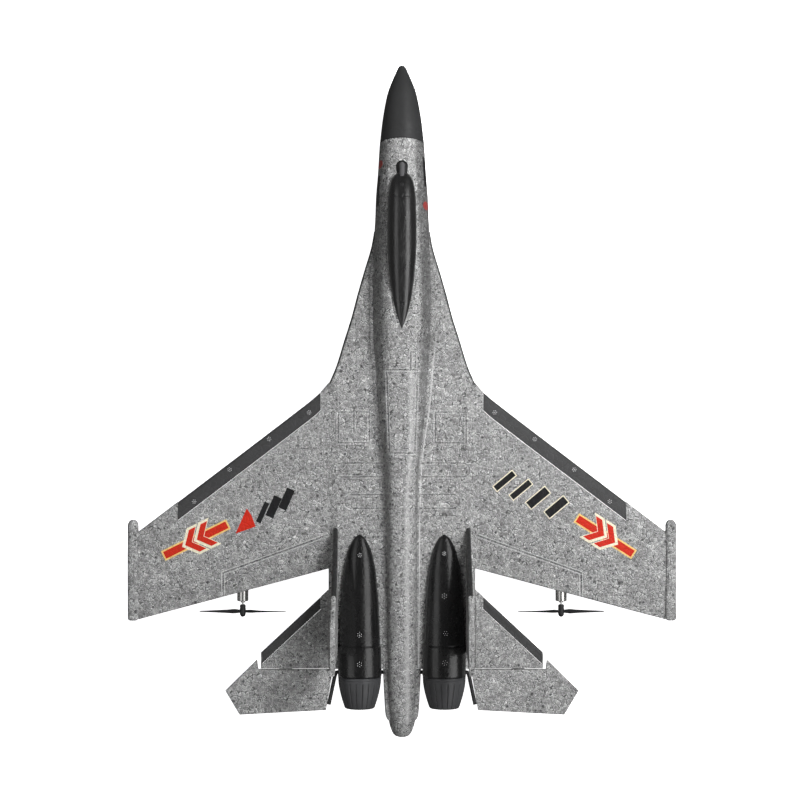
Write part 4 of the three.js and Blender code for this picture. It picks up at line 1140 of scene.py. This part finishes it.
# ---------------------------------------------------------------- fins
def fin_rings():
    """Fins are slabs whose span runs up: x and h are exchanged after lofting."""
    base, tall = 2.4, FIN_TOP - SEAM
    front = lambda h: 288 + (338.8 - 288) * (h - SEAM) / tall
    rear = lambda h: 364 + 7.5 * (h - SEAM) / tall
    lines = [[(10, 349.5), (50, 361.0)], [(10, 349.5), (10, 366)], [(50, 361), (50, 372)]]

    def side(h, s, sign):
        thin = FIN_HALF - 0.35 * np.clip((s - (rear(h) - 18)) / 18, 0, 1)
        return sign * (thin - groove(np.full_like(s, h), s, lines, 0.28))

    plus = lambda h, s: side(h, s, 1)
    minus = lambda h, s: side(h, s, -1)

    def stand(rings):
        return rings[..., ::-1] + [FIN_X, 0, 0]

    strip_wide, strip_top, gap = 12.7, 42.0, 0.25
    high = np.r_[strip_top + 0.02, np.linspace(strip_top + 0.3, FIN_TOP - 0.3, 24), FIN_TOP]
    parts = ((np.linspace(base, strip_top, 60), lambda h: front(h) + strip_wide + gap, 0.3),
             (high, front, 1.4))
    main = np.concatenate([slab(hs, edge, rear, plus, minus, nose_r, 0.5, 110, 110)
                           for hs, edge, nose_r in parts])
    flat = np.full_like
    strip = slab(np.linspace(base, strip_top - gap, 60), front, lambda h: front(h) + strip_wide,
                 lambda h, s: flat(s, FIN_HALF), lambda h, s: flat(s, -FIN_HALF), 1.4, 0.3, 44, 44)
    return stand(main), stand(strip)


fin, fin_strip = fin_rings()
for side, name in SIDES:
    lofts(f"fin_foam_{name}", [sided(fin, side)], "airframe", FOAM, [f"fin_{name}"])
    lofts(f"fin_strip_{name}", [sided(fin_strip, side)], "airframe", FIN_STRIP, [f"fin_edge_strip_{name}"])

# ---------------------------------------------------------------- wingtip rails
def rail_rings():
    rows = []
    a = angles(56)
    for s in np.r_[282.4 + 4 * eased(12), np.linspace(287, 343.4, 60),
                   345 - 1.6 * (1 - np.sin(np.linspace(0.1, math.pi / 2, 8)))]:
        k = dome((286.35 - s) / 4, 0.004) * dome((s - 343.6) / 1.8, 0.3)
        lift = 0.5 * float(smooth(310, 304, s))
        h = -0.4 + (2.6 + lift) * k * spow(np.sin(a), 0.6)
        rows.append(ring(166.7 + 3.3 * k * spow(np.cos(a), 0.6), s, h))
    return np.array(rows)


for side, name in SIDES:
    lofts(f"wingtip_rail_foam_{name}", [sided(rail_rings(), side)], "airframe", FOAM,
          [f"wingtip_rail_{name}"])

# ---------------------------------------------------------------- nacelles
COVER = table([
    [291.4, 0.3, 0.2], [293, 2.6, 1.2], [295.7, 4.6, 2.4], [301, 7.1, 4.4], [307.5, 8.8, 5.9], [313.7, 10, 7],
    [323, 11, 8.3], [332, 11.8, 9.1], [357, 12.8, 9.9], [379, 13.1, 10],
])


COVER_SUNK = 0.5


def cover_step(s):
    """The small step where the cover's rear ring begins."""
    return 0.5 * float(smooth(360.1, 360.6, s))


def cover_rings():
    rows = []
    a = np.linspace(0, math.pi, 72)
    for s in np.r_[291.4 + 2 * eased(8), np.linspace(293.8, 359.2, 120), np.linspace(359.4, 361.4, 14),
                   np.linspace(361.8, 378.2, 22), 378.6, 378.9, 379.1]:
        step = cover_step(s) - 0.3 * float(smooth(378.3, 379.1, s))
        line = 0.2 * bell(s - 340.0, 0.5) + 0.3 * bell(s - 359.9, 0.35)
        w = float(COVER(s, 0)) + step - line
        tall = float(COVER(s, 1)) + step - line + COVER_SUNK
        x = np.minimum(NACELLE_X + w * np.cos(a), FIN_X - FIN_HALF - 0.05)
        rows.append(ring(x, s, SEAM - COVER_SUNK + tall * np.abs(np.sin(a)) ** 0.9))
    return np.array(rows)


PETALS = 20


def nozzle_rings():
    outer = [[379.4, 12.6], [379.5, 13.15], [379.9, 13.3], [380.9, 13.3], [381.2, 13.05], [381.5, 13.2]]
    outer += [[s, 13.25 - 4.05 * ((s - 381.5) / 17.5) ** 1.55] for s in np.linspace(382, 398.6, 26)]
    inner = [[399, 8.95], [399, 8.5], [398.6, 8.1], [394, 9.6], [388, 11.0], [384.5, 10.8], [384.0, 10.2]]
    # the stepped plug deep inside
    inner += [[384.0, 7.6], [383.6, 7.3], [383.6, 5.4], [384.4, 5.1], [384.4, 2.6], [386.5, 1.6]]
    inner += [[387.6, 0.3]]
    rings = turned_rings(NACELLE_X, 0, [[379.4, 0.3], [379.4, 6]] + outer + inner, 240)
    # petals: fine grooves running aft, outside and inside
    dx, dh = rings[..., 0] - NACELLE_X, rings[..., 2]
    r = np.hypot(dx, dh)
    petal = np.abs(((np.arctan2(dh, dx) / (2 * math.pi) * PETALS) % 1) - 0.5)
    line = bell(petal, 0.06) * smooth(382, 383.5, rings[..., 1]) * (r > 7.5)
    k = 1 - 0.4 * line / np.maximum(r, 1)
    rings[..., 0] = NACELLE_X + dx * k
    rings[..., 2] = dh * k
    # the groove values also carry the painted shade into the petal grooves
    return rings, line


TRUNK = table([
    [190, 11.35, -24.6, 9, 26.65], [196, 11.35, -25.2, 9, 26.65], [270, 11.35, -25.2, 8, 26.65],
    [320, 11.6, -21, 4, 26.4], [379, 13, -13.3, 2.1, NACELLE_X],
])


def trunk_rings(inset, marks):
    rows = []
    for s in marks:
        w = float(TRUNK(s, 0)) - inset
        low = -SEAM + 0.3 - inset
        deep = low - float(TRUNK(s, 1)) - inset
        n = 2 / float(TRUNK(s, 2))
        cx = max(float(TRUNK(s, 3)), 15.2 + float(TRUNK(s, 0)) - 2.4 * float(smooth(320, 350, s)))
        a = np.linspace(0, math.pi, 300)
        h = low - deep * np.abs(np.sin(a)) ** n
        line = even(np.stack([cx + w * spow(np.cos(a), n), np.maximum(h, -DECK_Z)], -1), 84)
        h = line[:, 1]
        if not inset:
            for mark in (231.0, 318.0):
                near = bell(s - mark, 0.6)
                h = h + 0.3 * near * (h > -24.0) * (h < -4.5)
                line[:, 0] -= 0.3 * near * np.sign(line[:, 0] - cx) * (h > -24.0)
        rows.append(ring(line[:, 0], s, h))
    return np.array(rows)


def rake_cutter(side):
    corners = [(180, -1.5), (189.8, -1.5), (189.8, -SEAM), (198, -26.5), (180, -26.5)]
    verts = [[side * x, s, h] for x in (10.0, 44.0) for s, h in corners]
    faces = [[0, 1, 2, 3, 4], [9, 8, 7, 6, 5]] + [[i, i + 5, (i + 1) % 5 + 5, (i + 1) % 5] for i in range(5)]
    return piece("cutter", np.array(verts), faces, None, None)


MOUNT = table([[300, 0.5], [302, 2.1], [309, 4.1], [314, 4.6], [326.4, 4.5]])
LEAD_PATH = [(9, 181, -1.75), (40, 224, -1.75), (70, 266, -1.75), (94, 299.6, -1.75), (98.6, 306.5, -3.2),
             (99.2, 311, -5.8), (99.2, 317.9, MOTOR_Z)]


def mount_rings():
    rows = []
    a = angles(64)
    for s in np.r_[300 + 2 * eased(7), np.linspace(303, 326.4, 50)]:
        r = float(MOUNT(s)) * dome((302.1 - s) / 2.2, 0.02)
        for rib in (312.0, 316.0, 324.6):
            r += 0.22 * bell(s - rib, 0.5)
        h = MOTOR_Z + r * np.sin(a)
        x = MOTOR_X + r * np.cos(a)
        if s > 308:
            up = np.sin(a) > 0
            x = np.where(up, MOTOR_X + 4.0 * spow(np.cos(a), 0.35), x)
            h = np.where(up, MOTOR_Z + 4.6 * np.abs(np.sin(a)) ** 0.35, h)
        rows.append(ring(x, s, h))
    return np.array(rows)


def can_rings():
    profile = [[318.5, 0.2], [318.5, 3.1], [318.62, 3.36], [318.9, 3.5], [319.6, 3.5], [319.7, 3.42],
               [319.9, 3.42], [320.0, 3.5], [332.9, 3.5], [333.2, 3.46], [333.5, 3.3], [333.6, 3.0],
               [333.62, 1.5], [333.7, 1.32], [334.4, 1.3], [334.5, 1.2], [334.5, 0.56], [330, 0.56],
               [330, 0.1]]
    return turned_rings(MOTOR_X, MOTOR_Z, profile, 72)


BLADE_CHORD = table([[0, 2.4], [0.1, 2.9], [0.24, 5.6], [0.45, 5.5], [0.7, 4.4], [0.9, 2.9], [1, 2.2]])


BLADE_R = 27.0
BLADE_PITCH = 16
PROP_S = 340


def hub_and_blades():
    hub = turned_rings(MOTOR_X, MOTOR_Z, [
        [335.7, 0.56], [335.7, 1.3], [335.8, 1.55], [336.1, 1.75], [336.6, 1.85], [337.4, 1.85],
        [337.5, 1.75], [337.7, 1.75], [337.8, 1.85], [341.4, 1.85], [342.2, 1.72], [342.9, 1.35],
        [343.3, 0.8], [343.5, 0.1],
    ], 56)
    sets = [hub]
    a = angles(28)
    for turn in (0.0, math.pi):
        rows = []
        for r in np.linspace(0.8, BLADE_R, 60):
            t = r / BLADE_R
            chord = float(BLADE_CHORD(t)) * dome((t - 0.94) / 0.062, 0.02)
            thick = 1.3 - 0.8 * t
            pitch = math.atan2(BLADE_PITCH, 2 * math.pi * max(r, 3.2))
            u = chord / 2 * np.cos(a)
            v = thick / 2 * np.sin(a) * (1 - 0.25 * np.cos(a)) + 0.05 * chord * (1 - np.cos(a) ** 2)
            s = PROP_S + u * math.sin(pitch) + v * math.cos(pitch)
            h = u * math.cos(pitch) - v * math.sin(pitch)
            x = np.full(28, r)
            c, q = math.cos(turn), math.sin(turn)
            rows.append(np.stack([MOTOR_X + x * c + h * q, s, MOTOR_Z - x * q + h * c], -1))
        sets.append(np.array(rows))
    return sets


TRUNK_S = np.r_[190, np.linspace(192, 376, 150), 378.4, 379]
INTAKE_S = (186, 192, 198, 211.7)
INTAKE_WALL = 1.6
WIRE_R = 0.34
LEAD_TURNS = 26
petals, petal_groove_shade = nozzle_rings()
cover, trunk_outside, intake = cover_rings(), trunk_rings(0, TRUNK_S), trunk_rings(INTAKE_WALL, INTAKE_S)
lead_path = spline(LEAD_PATH, 260)
lead_turn = np.linspace(0, 2 * math.pi * LEAD_TURNS, 260)
shaft_profile = [[329.9, 0.1], [329.9, 0.5], [341.8, 0.5], [341.8, 0.1]]
for side, name in SIDES:
    lofts(f"nacelle_cover_gloss_{name}", [sided(cover, side)], "airframe", GLOSS, [f"nacelle_cover_{name}"])
    lofts(f"nozzle_petals_{name}", [sided(petals, side)], "airframe", NOZZLE_MAT, [f"nozzle_{name}"],
          30, line=petal_groove_shade)
    trunk = lofts(f"intake_trunk_foam_{name}", [sided(trunk_outside, side)], "airframe", FOAM,
                  [f"intake_trunk_{name}"])
    cut(trunk, [lofts("cutter", [sided(intake, side)], None, None), rake_cutter(side)])
    x = side * MOTOR_X
    mount = lofts(f"motor_mount_sleeve_{name}", [sided(mount_rings(), side)], "airframe", BLACK,
                  [f"motor_mount_{name}"])
    cut(mount, [box_cutter(x - 12, x + 12, 290, 340, -2.3, 6),
                rod_cutter((x, 318.2, MOTOR_Z), (x, 345, MOTOR_Z), 3.7)])
    lofts(f"motor_can_turned_{name}", [sided(can_rings(), side)], "airframe", CAN, [f"motor_can_{name}"])
    lofts(f"propeller_blades_{name}", [sided(r, side) for r in hub_and_blades()], f"propeller_{name}", BLACK,
          [f"propeller_{name}"])
    shaft = turned_rings(x, MOTOR_Z, shaft_profile, 24)
    lofts(f"motor_shaft_pin_{name}", [shaft], f"propeller_{name}", STEEL, [f"motor_shaft_{name}"])
    for tone, material, start in (("red", LEAD_RED, 0), ("blue", LEAD_BLUE, math.pi)):
        c = np.cos(lead_turn + start) * 0.36
        across = np.stack([c, -0.6 * c, np.sin(lead_turn + start) * 0.3], -1)
        wire = tube_rings(lead_path + across, WIRE_R, 8)
        lofts(f"motor_lead_{tone}_{name}", [sided(wire, side)], "airframe", material, [f"motor_lead_{name}"])

# ---------------------------------------------------------------- vent marks from the mould
random.seed(7)
PIP_R = 0.29


def vent_marks(name, marks, surface, material, lift=0.16):
    """Small rings of moulded pips at rows of (x, s, size). surface gives h at x, s."""
    verts, faces = [], []
    for x0, s0, size in marks:
        turn = random.random() * 6.28
        spots = [(0.0, 0.0)]
        spots += [(size * math.cos(turn + k * math.pi / 3), size * math.sin(turn + k * math.pi / 3))
                  for k in range(6)]
        for dx, ds in spots:
            start = len(verts)
            x1, s1 = x0 + dx, s0 + ds
            for q, up in ((1.0, -0.12), (0.8, 0.6), (0.45, 0.92)):
                for a in angles(8):
                    x, s = x1 + PIP_R * q * math.cos(a), s1 + PIP_R * q * math.sin(a)
                    verts.append([x, s, float(surface(x, s)) + lift * up])
            verts.append([x1, s1, float(surface(x1, s1)) + lift])
            faces += ring_faces(3, 8, start, False)
            faces += [[start + 16 + j, start + 16 + (j + 1) % 8, start + 24] for j in range(8)]
            faces.append([start + j for j in range(8)][::-1])
    piece(name, np.array(verts), faces, "airframe", material, angle=80)


def cover_height(x, s):
    w = float(COVER(s, 0)) + cover_step(s)
    tall = float(COVER(s, 1)) + cover_step(s) + COVER_SUNK
    c = min(0.999, abs(abs(x) - NACELLE_X) / w)
    return SEAM - COVER_SUNK + tall * math.sqrt(1 - c * c) ** 0.9


def canopy_height(x, s):
    w, crown = float(CANOPY(s, 0)), float(CANOPY(s, 1))
    low = float(BODY(s, 2)) - CANOPY_SUNK
    c = min(0.999, abs(x) / w) ** (1 / CANOPY_SQUARE)
    return low + (crown - low) * math.sqrt(1 - c * c) ** CANOPY_SQUARE


def spine_height(x, s):
    n = 2 / float(LEAN(s, 1))
    flat = min(0.98, abs(x) / float(BODY(s, 0) * (1 - LEAN(s, 0)))) ** (1 / n)
    return float(BODY(s, 2)) * math.sqrt(1 - flat * flat) ** n


wing_marks = [(57.5, 216, 1.1), (82.3, 232.5, 1.1), (106.8, 251.4, 1.1), (128.7, 271.2, 1.1)]
vent_marks("vent_marks_wing_strips", wing_marks + [(-x, s, r) for x, s, r in wing_marks],
           lambda x, s: float(wing_top(abs(x), s)), PIP_GLINT)
vent_marks("vent_marks_covers_left", [(-26, 303.8, 1.1), (-26, 352.4, 1.3), (-26, 370.4, 1.4)],
           cover_height, PIP_GLINT)
vent_marks("vent_marks_covers_right", [(26, 302.8, 1.0), (26, 328.6, 1.4), (26.8, 351.4, 1.3),
                                       (26.3, 369.4, 1.4)], cover_height, PIP_GLINT)
vent_marks("vent_marks_canopy", [(0, 77, 0.9), (0, 120, 1.1), (0, 151, 1.1)], canopy_height, PIP_DARK, 0.1)
vent_marks("vent_marks_spine", [(-1, 268, 1.2), (0, 320, 1.2), (0, 345, 1.2)], spine_height, PIP_FOAM, 0.12)
vent_marks("vent_marks_plate", [(26, 158, 1.2), (27, 171, 1.2), (-25, 152, 1.2), (-26, 163, 1.2),
                                (34, 226, 1.3), (-30, 232, 1.2)],
           lambda x, s: float(deck_top(np.array(float(x)), np.array(float(s)))), PIP_FOAM, 0.12)

# ---------------------------------------------------------------- printed marks
def rim_faces(n, m, top, low):
    """Faces that close the rim between two n by m grids that start at top and low."""
    rim = [(i, 0) for i in range(n)] + [(n - 1, j) for j in range(1, m)]
    rim += [(i, m - 1) for i in range(n - 2, -1, -1)] + [(0, j) for j in range(m - 2, 0, -1)]
    idx = [i * m + j for i, j in rim]
    return [[top + b, top + a, low + a, low + b] for a, b in zip(idx, idx[1:] + idx[:1])]


def decal(name, quads, surface, material, lift, n=18, m=6):
    """Thin film patches: each quad's four x, s corners go round it, with rows along its long side."""
    verts, faces = [], []
    for corners in quads:
        c = np.array(corners, float)
        u, v = np.meshgrid(np.linspace(0, 1, n), np.linspace(0, 1, m), indexing="ij")
        p = ((1 - u) * (1 - v))[..., None] * c[0] + (u * (1 - v))[..., None] * c[1]
        p = p + (u * v)[..., None] * c[2] + ((1 - u) * v)[..., None] * c[3]
        for up in (lift, -0.15):
            h = surface(p[..., 0], p[..., 1]) + up
            start = len(verts)
            verts += np.stack([p[..., 0], p[..., 1], h], -1).reshape(-1, 3).tolist()
            f = grid_faces(n, m, start)
            faces += f if up > 0 else [q[::-1] for q in f]
        faces += rim_faces(n, m, start - n * m, start)
    piece(name, np.array(verts), faces, "airframe", material, angle=30)


def plain_wing(x, s):
    return wing_top(np.abs(x), s)


def bar(cx, cs, length, width, angle):
    """Corners of a bar centred at cx, cs whose length runs at angle degrees aft of +X."""
    a = math.radians(angle)
    d = np.array([math.cos(a), math.sin(a)]) * length / 2
    w = np.array([-math.sin(a), math.cos(a)]) * width / 2
    c = np.array([cx, cs])
    return [c - d - w, c + d - w, c + d + w, c - d + w]


def chevron(cx, cs, angle, shift, wide, tall, sign):
    """Two quads that make a plain arrowhead band pointing along the bar."""
    a = math.radians(angle)
    d = np.array([math.cos(a), math.sin(a)]) * sign
    w = np.array([-math.sin(a), math.cos(a)])
    c = np.array([cx, cs]) + d * shift
    point, heel = c + d * tall * 0.42, c - d * wide + d * tall * 0.42
    return [[c - w * tall / 2, point, heel, c - w * tall / 2 - d * wide],
            [point, c + w * tall / 2, c + w * tall / 2 - d * wide, heel]]


for name, cx, cs, length, angle, sign in (("left", -127.6, 295.0, 45.0, -26.2, -1),
                                          ("right", 125.8, 292.6, 42.5, 32.6, 1)):
    decal(f"mark_bar_edge_{name}", [bar(cx, cs, length, 6.6, angle)], plain_wing, GOLD_INK, 0.06, 40, 8)
    decal(f"mark_bar_{name}", [bar(cx, cs, length - 2.0, 4.6, angle)], plain_wing, RED_INK, 0.1, 40, 8)
    arrows, inner = [], []
    for shift in (-7.0, 1.0):
        arrows += chevron(cx, cs, angle, shift + 0.9, 7.2, 18.0, sign)
        inner += chevron(cx, cs, angle, shift, 4.6, 15.0, sign)
    decal(f"mark_chevron_edge_{name}", arrows, plain_wing, CREAM_INK, 0.14, 12, 10)
    decal(f"mark_chevron_{name}", inner, plain_wing, RED_INK, 0.18, 12, 10)

# left: a red wedge and three slanted dark bars
decal("mark_wedge_left", [[(-103.0, 291.0), (-96.0, 275.4), (-93.0, 280.0), (-90.6, 286.6)]],
      plain_wing, RED_INK, 0.08, 14, 14)
decal("mark_slants_left", [bar(-86.2, 277.9, 13.5, 3.2, -66), bar(-79.4, 274.4, 13.5, 5.2, -66),
                           bar(-71.4, 269.6, 13.5, 5.2, -66)], plain_wing, BLACK_INK, 0.08)
slants = [(63.5, 258.4, 15.0, 3.6), (73.6, 263.8, 15.0, 3.6), (84.2, 268.8, 15.0, 5.0),
          (95.6, 274.6, 15.0, 5.0)]
decal("mark_slants_edge_right", [bar(x, s, a + 1.2, b + 1.2, -40) for x, s, a, b in slants], plain_wing,
      CREAM_INK, 0.06)
decal("mark_slants_right", [bar(x, s, a, b, -40) for x, s, a, b in slants], plain_wing, BLACK_INK, 0.1)


def side_patch(name, side, s0, s1, a0, a1, material, lift=0.08, disc=False):
    """A film on the rounded side of the forward body; a0..a1 run up the section in degrees."""
    n, m = 18, 12
    high, low = [], []
    for u in np.linspace(0, 1, n):
        for v in np.linspace(0, 1, m):
            if disc:
                b = u * 2 * math.pi
                s = (s0 + s1) / 2 + (s1 - s0) / 2 * v * math.cos(b)
                ang = (a0 + a1) / 2 + (a1 - a0) / 2 * v * math.sin(b)
            else:
                s, ang = s0 + (s1 - s0) * u, a0 + (a1 - a0) * v
            a = math.radians(ang)
            q = 2 / float(LEAN(s, 1))
            rise = spow(math.sin(a), q)
            x = side * float(BODY(s, 0)) * (1 - float(LEAN(s, 0)) * max(rise, 0)) * math.cos(a) ** q
            h = float(BODY(s, 2)) * rise
            k = 1 + lift / 15
            high.append(tilt([x * k, s, h * k]))
            low.append(tilt([x * 0.985, s, h * 0.985]))
    faces = grid_faces(n, m) + [f[::-1] for f in grid_faces(n, m, n * m)] + rim_faces(n, m, 0, n * m)
    piece(name, np.array(high + low), faces, "airframe", material, angle=30)


side_patch("mark_disc_left", -1, 61.4, 66.4, 6, 36, FADED_INK, 0.1, True)
side_patch("mark_disc_right", 1, 86.0, 91.4, 6, 36, FADED_INK, 0.1, True)
side_patch("mark_bar_side_left", -1, 70.5, 88.7, 9, 27, BLACK_INK)
side_patch("mark_bar_side_right", 1, 59.5, 77.0, 9, 27, BLACK_INK)

# ---------------------------------------------------------------- pieces that keep their solid
pins = spline([(2.7, 190, -6), (1.2, 190, -6), (0.25, 190.25, -6), (0, 191.2, -6), (0, 240, -6), (0, 330, -6),
               (0, 375.8, -6), (0.25, 376.75, -6), (1.2, 377, -6), (2.7, 377, -6)], 320)
lofts("pushrod_wire", [tube_rings(pins, 0.5, 14)], "pushrod", STEEL, ["pushrod"])

keeps = {
    "wing_spar": CARBON, "battery": WRAP, "battery_plug": WHITE, "receiver_board": BOARD, "servo_case": BLACK,
    "servo_arm": WHITE, "control_horn": WHITE, "switch_body": BLACK, "switch_knob": WHITE,
}
for node, mat in keeps.items():
    o = frame["nodes"][node]
    if not o.data.materials:
        o.data.materials.append(mat)
    for k in range(len(o.data.materials)):
        o.data.materials[k] = mat
    if node != "wing_spar":
        bevel = o.modifiers.new("edge", "BEVEL")
        bevel.width = 0.0002
        bevel.segments = 2
        bevel.limit_method = "ANGLE"
        bevel.angle_limit = math.radians(40)

# ---------------------------------------------------------------- floor, light and camera
FLOOR_HALF = 8.0
ROOM_R = 7.6
ROOM_H = 9.0
ROOM_SIDES = 48
pale = Tree("floor_white")
pale = pale.done(pale.patches(3.0, 2.0, 0.55, (0.3, 0.9), (0.7, 0.93)), 0.9, 0.0, None,
                 Specular_IOR_Level=0.1, Emission_Color=(1, 1, 1, 1), Emission_Strength=1.1)


def staged(name, verts, faces):
    """A plain pale surface that only the camera sees."""
    me = bpy.data.meshes.new(name)
    me.from_pydata(verts, [], faces)
    me.materials.append(pale)
    o = bpy.data.objects.new(name, me)
    bpy.context.scene.collection.objects.link(o)
    o.visible_diffuse = False
    o.visible_glossy = False
    return o


staged("floor", [(x * FLOOR_HALF, y * FLOOR_HALF, 0) for x, y in ((-1, -1), (1, -1), (1, 1), (-1, 1))],
       [(0, 1, 2, 3)])
# a round wall far out, as pale as the floor, so that low views end in white too
wall = [(ROOM_R * np.cos(a), ROOM_R * np.sin(a), h) for h in (-0.02, ROOM_H) for a in angles(ROOM_SIDES)]
backdrop = staged("backdrop", wall, ring_faces(2, ROOM_SIDES, 0, False))
backdrop.visible_shadow = False

scene = bpy.context.scene
scene.view_settings.view_transform = "Standard"
scene.view_settings.look = "None"
scene.view_settings.exposure = 0.0
studio = bpy.data.worlds.new("studio")
scene.world = studio
studio.use_nodes = True
sky = studio.node_tree.nodes["Background"].inputs
sky[0].default_value = grey(1.0)
sky[1].default_value = 0.1


def softbox(name, place, aim, size, size_y, power):
    """A soft rectangular light; its size runs along the plane and its size_y across."""
    light = bpy.data.lights.new(name, "AREA")
    light.shape = "RECTANGLE"
    light.size, light.size_y = size, size_y
    light.energy = power
    o = bpy.data.objects.new(name, light)
    o.location = place
    d = Vector(aim) - Vector(place)
    o.rotation_euler = d.to_track_quat("-Z", "Y").to_euler()
    scene.collection.objects.link(o)
    return o


key = softbox("key_front", (0.44, 0.5, 0.7), (0, 0.05, 0.02), 0.42, 0.3, 7.6)
key.visible_glossy = False
softbox("strip_right", (0.68, 0.0, 0.86), (0, 0.0, 0.02), 2.0, 0.62, 8.2)
softbox("strip_left", (-0.62, 0.0, 0.86), (0, 0.0, 0.02), 2.0, 0.5, 2.5)

DISTANCE = 1.15
PHOTO_WIDTH = 0.496
cam_data = bpy.data.cameras.new("camera")
cam = bpy.data.objects.new("camera", cam_data)
scene.collection.objects.link(cam)
scene.camera = cam
cam.location = (-0.0012, 0.0002, DECK_Z * MM + DISTANCE)
cam.rotation_euler = (0, 0, 0)
cam_data.sensor_width = 36
cam_data.lens = cam_data.sensor_width * DISTANCE / PHOTO_WIDTH
cam_data.clip_start = 0.01
cam_data.clip_end = 20
